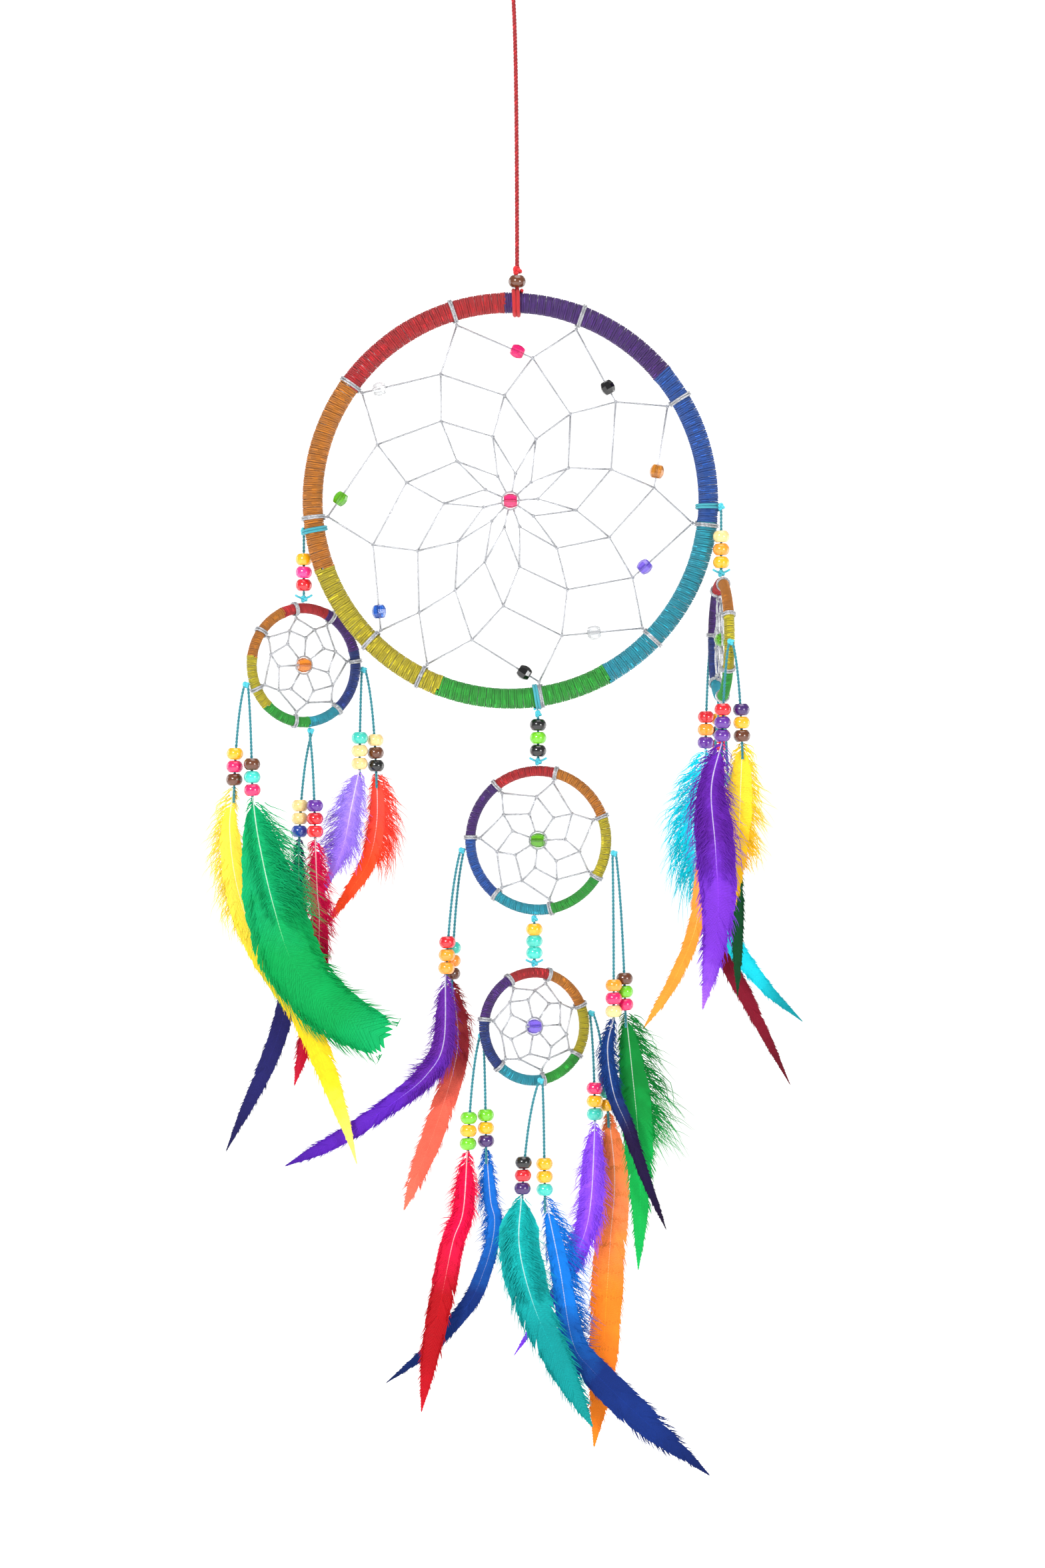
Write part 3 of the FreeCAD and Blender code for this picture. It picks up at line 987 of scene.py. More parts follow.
@dataclass
class Web:
    """A knotted web hitched to a hoop, with cut beads threaded on it."""

    hoop: WoundHoop
    hitches: tuple[float, ...]
    rounds: int
    bead_wide: float
    centre_bead: Paint
    rim_beads: tuple[tuple[Paint, float] | None, ...] = ()
    thread: float = 1.0 * MM
    knot: float = 1.7 * MM

    def nodes(self) -> list[list[Vector]]:
        """The web's knots in the hoop's plane, round by round, swirling to the centre.

        Returns:
            One list of points for each round.
        """
        gap = 0.05 * MM
        first = self.hoop.radius - self.hoop.tube / 2 - self.thread - 3 * gap - self.knot / 2
        last = 2.6 * (self.bead_wide / 2 + self.thread + 0.6 * MM)
        angles, rounds = list(self.hitches), []
        for step in range(self.rounds + 1):
            radius = first + (last - first) * step / self.rounds
            rounds.append([self.hoop.local(a, radius) for a in angles])
            onward = angles[1:] + [angles[0] + 360]
            angles = [a + 0.68 * (b - a) for a, b in zip(angles, onward)]
        return rounds

    def _placed(self, points: list[Vector]) -> list[Vector]:
        """Points of the hoop's plane in the whole piece's frame."""
        return [self.hoop.centre + self.hoop.upright @ p for p in points]

    def _hitch(self, clock: float) -> list[Vector]:
        """Two turns of web thread round the rim at a clock angle, ending inside it.

        Args:
            clock: the angle in degrees, clockwise from the top.

        Returns:
            The thread's points.
        """
        reach = self.hoop.tube / 2 + self.thread * 0.45
        step = math.degrees(self.thread / self.hoop.radius)
        return [self.hoop.wrap(clock + step * (turn / 12 - 1), math.pi + 2 * math.pi * turn / 12,
                               reach) for turn in range(25)]

    def _tied(self, node: Vector, lean: float) -> list[Vector]:
        """A small round knot of thread about a node, in the hoop's plane.

        Args:
            node: where the knot is.
            lean: tilts it, in radians.

        Returns:
            The thread's points.
        """
        points = []
        for index in range(18):
            t = 2 * math.pi * 2 * index / 18
            loop = Vector((math.cos(t), math.sin(t), 0.9 * math.sin(0.5 * t + lean)))
            points.append(node + loop * self.knot * 0.27)
        return self._placed(points)

    def build(self) -> None:
        """Tie the web, then thread its beads."""
        rounds = self.nodes()
        runs: list[Run] = []
        for clock, tied in zip(self.hitches, rounds[0]):
            inside = self.hoop.local(clock, self.hoop.radius - self.hoop.tube / 2)
            runs += [Run(self._hitch(clock)), Run(self._placed([inside, tied]))]
        for outer, inner in zip(rounds, rounds[1:]):
            for index, node in enumerate(inner):
                onward = outer[(index + 1) % len(outer)]
                bow = Vector((0, 0, 0.35 * MM * (-1) ** index))
                runs.append(Run(self._placed([outer[index], (outer[index] + node) / 2 + bow, node,
                                              (node + onward) / 2 - bow, onward])))
        for ring in rounds:
            runs += [Run(self._tied(node, i)) for i, node in enumerate(ring)]
        eye = self.bead_wide / 2 + self.thread * 0.8
        loop = [Vector((math.cos(a), math.sin(a), 0)) * eye
                for a in np.linspace(0, 2 * math.pi, 24, endpoint=False)]
        runs.append(Run(self._placed(loop), ring=True))
        runs.append(Run(self._placed([Vector((-eye, 0, 0)), Vector((eye, 0, 0))])))
        runs += [Run(self._placed([node, node.normalized() * eye])) for node in rounds[-1]]
        net = threads(self.hoop.name + "_web_thread", runs, self.thread)
        dress(net, WARDROBE.take(SilverThread("silver_web_thread", 9.0)))
        centre = self._bead("centre", Vector(), Vector((1, 0, 0)), self.centre_bead)
        if not self.rim_beads:
            show(join(net.name, [net, centre]), self.hoop.body, "web_thread",
                 self.hoop.name + "_web")
            return
        show(net, self.hoop.body, "web_thread", self.hoop.name + "_web")
        beads = [centre]
        for index, (tied, node, bead) in enumerate(zip(rounds[0], rounds[1], self.rim_beads)):
            if bead:
                paint, share = bead
                beads.append(self._bead(str(index), tied + (node - tied) * share, node - tied,
                                        paint))
        show(join("ring_cut_beads", beads), self.hoop.body, "bead_acrylic",
             self.hoop.name + "_web_beads")

    def _bead(self, label: str, at: Vector, along: Vector, paint: Paint) -> bpy.types.Object:
        """One cut bead on the web.

        Args:
            label: ends its name.
            at: its centre in the hoop's plane.
            along: the thread's direction there.
            paint: its tint.

        Returns:
            The bead.
        """
        turn = Vector((0, 0, 1)).rotation_difference(along).to_matrix()
        place = Matrix.Translation(self.hoop.centre + self.hoop.upright @ at) @ (
            self.hoop.upright @ turn).to_4x4()
        bead = copy_to(PATTERNS["cut"], f"{self.hoop.name}_bead_{label}", place)
        clear = 0.2 if paint is Paint.BLACK else 0.72
        return dress(bead, WARDROBE.take(CutAcrylic(f"acrylic_{paint.name.lower()}",
                                                    paint.linear, clear)))


# ------------------------------------------------------------------ feathers
@dataclass
class Feather:
    """One dyed feather: a curved quill, overlapping barbs for its vane, and down at its base.

    route gives the quill's points from its base in mm (sideways, up); vane gives the whole
    width of the vane in mm at 0.14, 0.32, 0.52 and 0.72 of its length and just before the
    tip; down_left and down_right how far the down stands out, and down_until where it ends."""

    route: tuple[tuple[float, float], ...]
    down: str
    body: str
    tip: str
    vane: tuple[float, float, float, float, float]
    down_left: float
    down_right: float
    down_until: float
    blunt: bool = False
    bars: float = 0.0
    splits: int = 2

    def build(self, name: str, base: Vector, front: float, seed: int) -> bpy.types.Object:
        """Make the feather.

        Args:
            name: the piece's name.
            base: where its quill leaves the beads.
            front: −1 if it bows to the front, 1 if to the back.
            seed: picks its small unevenness.

        Returns:
            The feather, dressed.
        """
        self.luck = random.Random(seed)
        points = [base] + [base + Vector((x * MM, 0, z * MM)) for x, z in self.route]
        self.quill = through(points, 121)
        self.length = (self.quill[1] - self.quill[0]).length * 120
        for index, point in enumerate(self.quill):
            share = index / 120
            point.y += front * MM * (1.3 * math.sin(math.pi * share) - 0.6 * share)
        quill = self._quill(name)
        vane = self._vane(name, front)
        down = self._down(name)
        finish = DyedFeather(name, dye(self.down), dye(self.body), dye(self.tip), self.length,
                             self.bars)
        dyed = WARDROBE.take(finish)
        dress(vane, dyed)
        dress(down, dyed)
        dress(quill, WARDROBE.take(DyedFeather(
            name + "_quill", tuple(0.45 + 0.5 * c for c in dye(self.down)),
            darker(dye(self.body), 1.6), darker(dye(self.tip), 1.2), self.length)))
        feather = join(name, [vane, down, quill])
        self._chart(feather)
        return feather

    def _at(self, share: float) -> tuple[Vector, Vector]:
        """A point of the quill and the direction across it, to the right.

        Args:
            share: how far along the quill, 0 to 1.

        Returns:
            The point and the direction.
        """
        place = min(max(share, 0.0), 1.0) * 120
        low = min(int(place), 119)
        point = self.quill[low].lerp(self.quill[low + 1], place - low)
        ahead = self.quill[min(low + 3, 120)] - self.quill[max(low - 3, 0)]
        return point, Vector((-ahead.z, 0, ahead.x)).normalized()

    def _width(self, share: float) -> float:
        """Half the vane's width beside a point of the quill.

        Args:
            share: how far along the quill, 0 to 1.

        Returns:
            Half the width, in metres.
        """
        places = [0.0, 0.05, 0.14, 0.32, 0.52, 0.72, 0.93 if self.blunt else 0.87, 1.0]
        end = 0.55 if self.blunt else 0.03
        widths = [0.3, 0.45 * self.vane[0], *self.vane, end * self.vane[4]]
        wide = float(np.interp(share, places, widths))
        if self.blunt and share > 0.93:
            wide = self.vane[4] * math.sqrt(max(0.02, 1 - ((share - 0.93) / 0.07) ** 2))
        return wide / 2 * MM

    def _quill(self, name: str) -> bpy.types.Object:
        """The tapered shaft, its foot under the beads.

        Args:
            name: the feather's name.

        Returns:
            The shaft.
        """
        thin = [1.0 - 0.82 * (i / 60) for i in range(58)]
        return threads(name + "_quill", [Run([self.quill[2 * i] for i in range(58)], thin)],
                       0.75 * MM)

    def _vane(self, name: str, front: float) -> bpy.types.Object:
        """Overlapping flat barbs on both sides of the quill, with a few splits between them.

        Args:
            name: the feather's name.
            front: which way the feather is cupped.

        Returns:
            The vane.
        """
        count = max(46, int(self.length / (1.4 * MM)))
        start = 0.07
        corners: list[Vector] = []
        faces: list[tuple[int, int, int, int]] = []
        for side in (-1, 1):
            gaps = [self.luck.uniform(0.35, 0.93) for _ in range(self.splits)]
            ends = [start + (1.0 - start) * (n + 0.5) / count for n in range(count)]
            past = [min((e - g for g in gaps if e > g), default=1.0) for e in ends]
            roots = [max(e - self._width(e) * (1.5 + 0.8 * math.exp(-p / 0.02)) / self.length,
                         0.012) for e, p in zip(ends, past)]
            for n, (root, end) in enumerate(zip(roots, ends)):
                wide = self._width(end) * self.luck.uniform(0.95, 1.04)
                wide *= 1 - 0.22 * math.exp(-past[n] / 0.015)
                near, far = max(n - 1, 0), min(n + 1, count - 1)
                spread = (max(0.7 * abs(roots[far] - roots[near]), 0.004),
                          0.5 * (ends[far] - ends[near]))
                faces += self._barb(corners, (root, end), wide * side, front, spread)
        mesh = bpy.data.meshes.new(name + "_vane")
        mesh.from_pydata(corners, [], faces)
        vane = bpy.data.objects.new(name + "_vane", mesh)
        bpy.context.collection.objects.link(vane)
        only(vane)
        solid = vane.modifiers.new("thickness", "SOLIDIFY")
        solid.thickness, solid.offset = 0.1 * MM, 0.0
        bpy.ops.object.modifier_apply(modifier=solid.name)
        vane.data.uv_layers.new(name="UVMap")
        bpy.ops.object.shade_smooth_by_angle(angle=math.radians(35))
        return vane

    def _barb(self, corners: list[Vector], span: tuple[float, float], wide: float, front: float,
              spread: tuple[float, float]) -> list[tuple[int, int, int, int]]:
        """Add one flat barb that leaves the quill and curves out to the vane's edge.

        Args:
            corners: the vane's corners so far, which the barb adds to.
            span: where it leaves the quill, and the share of the quill beside its tip.
            wide: how far from the quill its tip is; less than 0 on the left.
            front: which way the feather is cupped.
            spread: half its breadth at its root and at its tip, as shares of the quill.

        Returns:
            The barb's faces.
        """
        first, steps = len(corners), 5
        for step in range(steps + 1):
            t = step / steps
            point, across = self._at(span[0] + (span[1] - span[0]) * t)
            along = Vector((across.z, 0, -across.x))
            out = wide * (1.15 * t - 0.15 * t * t)
            cup = -front * (0.1 * abs(out) + 4.0 * out * out)
            broad = (spread[0] + (spread[1] - spread[0]) * t) * self.length
            middle = point + across * out + Vector((0, cup, 0))
            corners.append(middle + along * broad + Vector((0, -0.17 * MM, 0)))
            corners.append(middle - along * broad + Vector((0, 0.17 * MM, 0)))
        faces = []
        for a in range(first, first + 2 * steps, 2):
            quad = (a, a + 1, a + 3, a + 2)
            faces.append(quad if wide < 0 else quad[::-1])
        return faces

    def _down(self, name: str) -> bpy.types.Object:
        """Loose, curling down at the base, and stray barbs along the vane's edges.

        Args:
            name: the feather's name.

        Returns:
            The down, one mesh.
        """
        runs: list[Run] = []
        amount = int(300 + 520 * self.down_until * self.length / 0.1)
        for _ in range(amount):
            share = self.down_until * self.luck.random() ** 0.85
            side = self.luck.choice((-1, 1))
            reach = (self.down_left if side < 0 else self.down_right) * MM
            fade = min(1.0, 0.5 + share / self.down_until * 1.8) * min(
                1.0, 2.6 - 2.2 * share / self.down_until)
            runs.append(self._wisp(share, side, reach * fade * self.luck.triangular(0.3, 1.1, 0.6),
                                   1.0, self.luck.uniform(0.0, 0.4)))
        for _ in range(int(self.length / (0.8 * MM))):
            share = self.luck.uniform(0.5 * self.down_until, 0.97)
            side = self.luck.choice((-1, 1))
            reach = self._width(share) * self.luck.uniform(0.98, 1.16) + 0.3 * MM
            runs.append(self._wisp(share - 0.02, side, reach, 0.35, 0.72))
        return threads(name + "_down", runs, 0.42 * MM, 0)

    def _wisp(self, share: float, side: int, reach: float, loose: float,
              free_from: float = 0.0) -> Run:
        """One loose barb.

        Args:
            share: where on the quill it starts.
            side: which side of the quill.
            reach: how far out it goes.
            loose: how much it wanders, from 0 to 1.
            free_from: the share of its length that stays hidden in the vane.

        Returns:
            Its run of thread.
        """
        sweep = self.luck.uniform(0.55, 1.5) + (1 - loose) * 0.9
        wave = self.luck.uniform(-0.16, 0.16) * loose
        depth = max(-0.35, min(0.35, self.luck.gauss(0.0, 0.17))) * loose
        points = []
        for step in range(6):
            t = free_from + (1.0 - free_from) * step / 5
            point, across = self._at(share + sweep * reach * t * (0.55 + 0.45 * t) / self.length)
            out = reach * (t - wave * math.sin(2.6 * math.pi * t))
            points.append(point + across * out * side
                          + Vector((0, depth * reach * t * t, 0)))
        return Run(points, [1.0, 0.95, 0.85, 0.65, 0.42, 0.14])

    def _chart(self, feather: bpy.types.Object) -> None:
        """Chart the feather by how far along its quill and how far across it each point is.

        Args:
            feather: the feather's mesh, which gets the chart.
        """
        mesh = feather.data
        count = len(mesh.vertices)
        places = np.empty(count * 3)
        mesh.vertices.foreach_get("co", places)
        places = places.reshape(-1, 3)
        line = np.array(self.quill)
        apart = ((places[:, None, (0, 2)] - line[None, ::3, (0, 2)]) ** 2).sum(2)
        nearest = apart.argmin(1) * 3
        off = np.sqrt(apart.min(1))
        charted = np.stack([nearest / 120, off / 0.014], 1)
        corners = np.empty(len(mesh.loops), int)
        mesh.loops.foreach_get("vertex_index", corners)
        mesh.uv_layers[0].data.foreach_set("uv", charted[corners].ravel())


# ------------------------------------------------------------------ strands
@dataclass
class Strand:
    """One cord of a drop: its offset from the knot in mm, its beads and its feather."""

    side: float
    front: float
    first_bead: float
    beads: tuple[Paint, Paint, Paint]
    feather: Feather


@dataclass
class Drop:
    """Two beaded cords with a feather each, that share one knot on a hoop's rim."""

    name: str
    strands: tuple[Strand, Strand]
    cord_thick: float = 1.3
    bead_high: float = 5.6
    bead_step: float = 6.2
    tail: float = 11.0

    def build(self, knot_at: Vector, seed: int) -> None:
        """Make the drop's cords, beads and feathers.

        Args:
            knot_at: the knot's middle, in metres.
            seed: picks the feathers' small unevenness.
        """
        beads: list[bpy.types.Object] = []
        feathers: list[bpy.types.Object] = []
        cords: list[tuple[bpy.types.Object, list[Vector]]] = []
        for index, strand in enumerate(self.strands):
            label = f"{self.name}_{'ab'[index]}"
            last = strand.first_bead + 2 * self.bead_step
            start = knot_at + Vector((-0.8 if index == 0 else 0.8, 0, 0)) * MM
            bend = knot_at + Vector((strand.side, -strand.front, -0.45 * strand.first_bead)) * MM
            lean = strand.side * (1 + 0.004 * (last + self.tail))
            end = knot_at + Vector((lean, -strand.front, -last - self.tail)) * MM
            rope, line = Rope(label + "_cord", [start, bend, end], self.cord_thick * MM).build()
            cords.append((rope, line))
            for number, paint in enumerate(strand.beads):
                depth = strand.first_bead + number * self.bead_step
                share = ((depth - 0.45 * strand.first_bead) * MM) / (bend.z - end.z)
                at = Vector((bend.x + (end.x - bend.x) * share, bend.y, knot_at.z - depth * MM))
                beads.append(thread_bead(f"{label}_bead_{number}", at, paint, seed + number))
            beside = (0.65 + 0.4 + 0.3) * MM * (1 if strand.front > 0 else -1)
            base = Vector((end.x, bend.y - beside, knot_at.z - (last + self.bead_high / 2
                                                                + 0.3) * MM))
            feathers.append(strand.feather.build(f"{label}_feather", base,
                                                 -1 if strand.front > 0 else 1,
                                                 seed * 10 + index))
        row = show(join(self.name + "_turned_beads", beads), self.name, "bead_wood",
                   self.name + "_beads")
        for feather in feathers:
            show(feather, self.name, "feather_down", self.name + "_feathers")
        knot = Knot(knot_at, 3.4 * MM, self.cord_thick * MM).build(self.name + "_knot")
        dress(knot, WARDROBE.take(SpunThread("cyan_cord", Paint.SKY.linear, 9.0)))
        show(knot, self.name, "cord_blue", self.name + "_cords")
        for rope, line in cords:
            dress(rope, WARDROBE.take(CYAN_PLY))
            show(rope, self.name, "cord_blue", self.name + "_cords")
            length = sum((b - a).length for a, b in zip(line, line[1:]))


def thread_bead(name: str, at: Vector, paint: Paint, seed: int) -> bpy.types.Object:
    """A turned bead on its cord, tipped and turned a little.

    Args:
        name: its name.
        at: its middle.
        paint: its lacquer.
        seed: picks how it is tipped.

    Returns:
        The bead.
    """
    luck = random.Random(seed * 7 + len(name))
    tip = Matrix.Rotation(luck.uniform(-0.07, 0.07), 4, "Y") @ Matrix.Rotation(
        luck.uniform(-0.05, 0.05), 4, "X") @ Matrix.Rotation(luck.uniform(0, 6.3), 4, "Z")
    bead = copy_to(PATTERNS["turned"], name, Matrix.Translation(at) @ tip)
    return dress(bead, WARDROBE.take(PolishedWood(f"wood_{paint.name.lower()}", paint.linear)))


@dataclass
class Link:
    """A short beaded cord between a rim and the hoop under it."""

    name: str
    drop: float
    row_at: float
    beads: tuple[Paint, Paint, Paint]
    step: float = 6.2
    cord_thick: float = 1.3

    def build(self, top: Vector, seed: int) -> None:
        """Make the link's cord, its two knots and its beads.

        Args:
            top: its upper knot, in metres.
            seed: picks how the beads are tipped.
        """
        foot = top - Vector((0, 0, self.drop * MM))
        rope, line = Rope(self.name + "_twisted_cord", [top, (top + foot) / 2, foot],
                          self.cord_thick * MM).build()
        dress(rope, WARDROBE.take(CYAN_PLY))
        show(rope, self.name, "cord_blue", self.name + "_cord")
        knots = [Knot(at, 3.6 * MM, self.cord_thick * MM, 0.8).build(f"{self.name}_knot_{i}")
                 for i, at in enumerate((top, foot))]
        tails = [Run([foot, foot + Vector((2.6 * way, -1.6, 1.0)) * MM,
                      foot + Vector((4.0 * way, -2.4, 1.8)) * MM]) for way in (-1, 1)]
        knots.append(threads(self.name + "_tails", tails, self.cord_thick * 0.8 * MM))
        for knot in knots:
            dress(knot, WARDROBE.take(SpunThread("cyan_cord", Paint.SKY.linear, 9.0)))
        show(join(self.name + "_knots", knots), self.name, "cord_blue", self.name + "_cord")
        middle = top - Vector((0, 0, self.drop * self.row_at * MM))
        row = [thread_bead(f"{self.name}_bead_{n}", middle - Vector((0, 0, self.step * (n - 1)))
                           * MM, paint, seed + n) for n, paint in enumerate(self.beads)]
        show(join(self.name + "_turned_beads", row), self.name, "bead_wood",
             self.name + "_beads")


@dataclass
class Hanger:
    """The red hanging cord: an open loop tied off in a knot, then a drop to the ring's knot."""

    thick: float = 2.0
    high: float = 40.0
    half: float = 7.0
    drop: float = 134.6

    def build(self) -> None:
        """Twist the cord along its route and tie its knots."""
        top = self.thick / 2
        foot = -self.high - self.drop
        route = [(0, foot), (0, -self.high - 4), (-self.half + 1.2, -0.62 * self.high),
                 (-self.half, -0.3 * self.high), (-self.half + 2.5, top),
                 (self.half - 2.5, top), (self.half, -0.3 * self.high),
                 (self.half - 1, -0.62 * self.high), (1.6, -self.high)]
        points = [Vector((x, 0, z)) * MM for x, z in route]
        rope, line = Rope("hanging_twisted_cord", points, self.thick * MM, 3, 5.2 * MM).build()
        dress(rope, WARDROBE.take(RED_PLY))
        show(rope, "hanger", "cord_red", "hanging_cord")
        length = sum((b - a).length for a, b in zip(line, line[1:]))
        self.thick * MM
        knots = [Knot(Vector((0.6, 0, -self.high - 1.5)) * MM, 5.4 * MM, 1.9 * MM).build("tied"),
                 Knot(Vector((0, 0, foot)) * MM, 4.8 * MM, 1.7 * MM, 0.7).build("ended")]
        for knot in knots:
            dress(knot, WARDROBE.take(SpunThread("red_cord", Paint.SCARLET.linear, 8.0)))
        show(join("hanging_knots", knots), "hanger", "cord_red", "hanging_cord")


@dataclass
class RimTies:
    """Cord wrapped round the large ring's rim where each strand is tied, and its top bead."""

    ring: WoundHoop
    clocks: tuple[float, float, float] = (261.6, 172.6, 91.8)

    def _wrap(self, clock: float, thick: float, turns: float) -> Run:
        """Turns of cord lying side by side over the rim.

        Args:
            clock: where on the ring.
            thick: the cord's thickness in metres.
            turns: how many turns there are.

        Returns:
            The run of cord.
        """
        step = math.degrees(thick * 0.95 / self.ring.radius)
        reach = self.ring.tube / 2 + 0.05 * MM + thick / 2
        count = int(turns * 20)
        return Run([self.ring.wrap(clock + step * (i / 20 - turns / 2),
                                   2 * math.pi * i / 20, reach) for i in range(count + 1)])

    def build(self) -> None:
        """Wrap the ties and thread the large brown bead."""
        top = math.degrees(math.asin(3.2 / 95.0))
        low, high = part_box("hanging_bead")
        middle = (low + high) / 2
        stem = Run([Vector((0, 0, high.z + 0.2 * MM)), Vector((0, 0, low.z - 1.4 * MM))])
        red = threads("red_tie", [self._wrap(top, 2 * MM, 2), stem], 2 * MM)
        dress(red, WARDROBE.take(SpunThread("red_tie_cord", Paint.SCARLET.linear, 26.0)))
        blue = threads("cyan_ties", [self._wrap(c, 1.3 * MM, 2) for c in self.clocks], 1.3 * MM)
        dress(blue, WARDROBE.take(SpunThread("cyan_tie_cord", Paint.SKY.linear, 26.0)))
        show(join("rim_ties_cord", [red, blue]), "main_ring", "cord_blue", "rim_ties")
        bead = copy_to(PATTERNS["large"], "hanging_turned_bead", Matrix.Translation(middle))
        dress(bead, WARDROBE.take(PolishedWood("wood_brown", Paint.BROWN.linear)))
        show(bead, "main_ring", "bead_wood", "hanging_bead")


# ------------------------------------------------------------------ studio
@dataclass
class Studio:
    """A seamless white sweep, soft lights and the camera."""

    aim: Vector
    distance: float = 2.4
    frame_high: float = 0.7526

    def build(self) -> None:
        """Set up the paper, the lights and the camera."""
        low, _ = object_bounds()
        self._paper(low.z - 0.11)
        for name, place, power, wide in (("key", (-0.9, -1.7, 0.35), 28.0, 0.35),
                                         ("fill", (1.2, -1.5, -0.3), 12.5, 0.5),
                                         ("top", (0.1, -0.2, 0.9), 10.0, 1.0),
                                         ("back_left", (-1.3, 0.55, -0.2), 6.0, 0.9),
                                         ("back_right", (1.3, 0.55, -0.5), 6.0, 0.9)):
            self._light(name, Vector(place), power, wide)
        world = bpy.data.worlds.new("studio_air")
        world.use_nodes = True
        world.node_tree.nodes["Background"].inputs["Color"].default_value = (1, 1, 1, 1)
        world.node_tree.nodes["Background"].inputs["Strength"].default_value = 0.42
        bpy.context.scene.world = world
        bpy.context.scene.view_settings.view_transform = "Standard"
        self._camera()

    def _paper(self, floor: float) -> None:
        """Sweep the paper from the floor up behind the piece.

        Args:
            floor: the floor's height in metres.
        """
        bpy.ops.object.select_all(action="DESELECT")
        bpy.ops.mesh.primitive_plane_add(size=1.0, location=(0, 0.3, floor))
        paper = bpy.context.view_layer.objects.active
        paper.name = paper.data.name = "studio_sweep"
        bpy.ops.object.mode_set(mode="EDIT")
        bpy.ops.mesh.select_all(action="SELECT")
        bpy.ops.transform.resize(value=(9.4, 10.0, 1.0))
        bpy.ops.mesh.select_all(action="DESELECT")
        bpy.ops.object.mode_set(mode="OBJECT")
        for edge in paper.data.edges:
            ends = [paper.matrix_world @ paper.data.vertices[i].co for i in edge.vertices]
            edge.select = all(p.y > 1.5 for p in ends)
        bpy.ops.object.mode_set(mode="EDIT")
        bpy.ops.mesh.select_mode(type="EDGE")
        for turn in range(1, 9):
            angle = math.radians(90) * (turn - 0.5) / 8
            reach = 0.16
            bpy.ops.mesh.extrude_region_move(TRANSFORM_OT_translate={
                "value": (0, reach * math.cos(angle), reach * math.sin(angle))})
        bpy.ops.mesh.extrude_region_move(TRANSFORM_OT_translate={"value": (0, 0, 4.0)})
        bpy.ops.mesh.select_mode(type="VERT")
        bpy.ops.object.mode_set(mode="OBJECT")
        bpy.ops.object.transform_apply()
        bpy.ops.object.shade_smooth()
        dress(paper, WARDROBE.take(StudioPaper("sweep_paper")))
        paper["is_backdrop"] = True

    def _light(self, name: str, place: Vector, power: float, wide: float) -> None:
        """Hang one soft light that faces the piece.

        Args:
            name: the light's name.
            place: where it hangs, in metres.
            power: its power in watts.
            wide: the side of its square, in metres.
        """
        lamp = bpy.data.lights.new(name, "AREA")
        lamp.energy, lamp.size = power, wide
        holder = bpy.data.objects.new(name, lamp)
        holder.location = place
        holder.rotation_euler = (self.aim - place).to_track_quat("-Z", "Y").to_euler()
        bpy.context.collection.objects.link(holder)

    def _camera(self) -> None:
        """Face the piece squarely from in front."""
        lens = bpy.data.cameras.new("camera")
        lens.lens = lens.sensor_width * self.distance / self.frame_high
        camera = bpy.data.objects.new("camera", lens)
        camera.location = self.aim - Vector((0, self.distance, 0))
        camera.rotation_euler = (math.radians(90), 0, 0)
        bpy.context.collection.objects.link(camera)
        bpy.context.scene.camera = camera


# ------------------------------------------------------------------ the piece
def hoops() -> dict[str, WoundHoop]:
    """The five wound hoops, with the clock angle at which each colour starts.

    Returns:
        The hoops by name.
    """
    p = Paint
    ring = WoundHoop("ring", "main_ring", 0, 95 * MM, 10 * MM, 1.05 * MM, [
        (-1.5, p.PURPLE), (50, p.BLUE), (96.5, p.CYAN), (151, p.GRASS), (201, p.LEMON),
        (250, p.ORANGE), (305.5, p.SCARLET)])
    left = WoundHoop("left_hoop", "left_hoop", 27, 27.4 * MM, 5.2 * MM, 0.85 * MM, [
        (-24, p.SCARLET), (26, p.PURPLE), (75, p.NAVY), (138, p.CYAN), (175, p.GRASS),
        (225, p.LEMON), (278, p.ORANGE)])
    upper = WoundHoop("upper_hoop", "upper_hoop", -12, 33.3 * MM, 5.2 * MM, 0.85 * MM, [
        (-38, p.SCARLET), (15, p.ORANGE), (70, p.LEMON), (121, p.GRASS), (169, p.CYAN),
        (218, p.BLUE), (272, p.PURPLE)])
    lower = WoundHoop("lower_hoop", "lower_hoop", 22, 25.9 * MM, 5.2 * MM, 0.85 * MM, [
        (-30, p.SCARLET), (16, p.ORANGE), (67, p.LEMON), (122, p.GRASS), (170, p.CYAN),
        (224, p.NAVY), (278, p.PURPLE)])
    right = WoundHoop("right_hoop", "right_hoop", -84, 27.4 * MM, 5.2 * MM, 0.85 * MM, [
        (-30, p.SCARLET), (15, p.ORANGE), (66, p.LEMON), (121, p.GRASS), (169, p.CYAN),
        (222, p.NAVY), (276, p.PURPLE)])
    return {hoop.name: hoop for hoop in (ring, left, upper, lower, right)}


def webs(made: dict[str, WoundHoop]) -> list[Web]:
    """The web of each hoop, with its hitches in clock degrees.

    Args:
        made: the hoops by name.

    Returns:
        The webs.
    """
    p = Paint
    wide = 7 * MM
    return [
        Web(made["ring"], (-17, 21, 59, 97, 134, 171, 207, 225, 265, 306), 4, wide, p.PINK,
            ((p.PINK, 0.8), (p.BLACK, 0.8), (p.AMBER, 0.8), (p.LILAC, 0.8), (p.CLEAR, 0.6),
             (p.BLACK, 0.22), None, (p.BLUE, 0.22), (p.GREEN, 0.25), (p.CLEAR, 0.22))),
        Web(made["left_hoop"], (-10, 32, 85, 140, 190, 245, 305), 2, wide, p.ORANGE),
        Web(made["upper_hoop"], (15, 70, 121, 169, 218, 272, 322), 2, wide, p.GREEN),
        Web(made["lower_hoop"], (16, 67, 122, 170, 224, 278, 330), 2, wide, p.LILAC),
        Web(made["right_hoop"], (15, 66, 121, 169, 222, 276, 330), 2, wide, p.GREEN)]


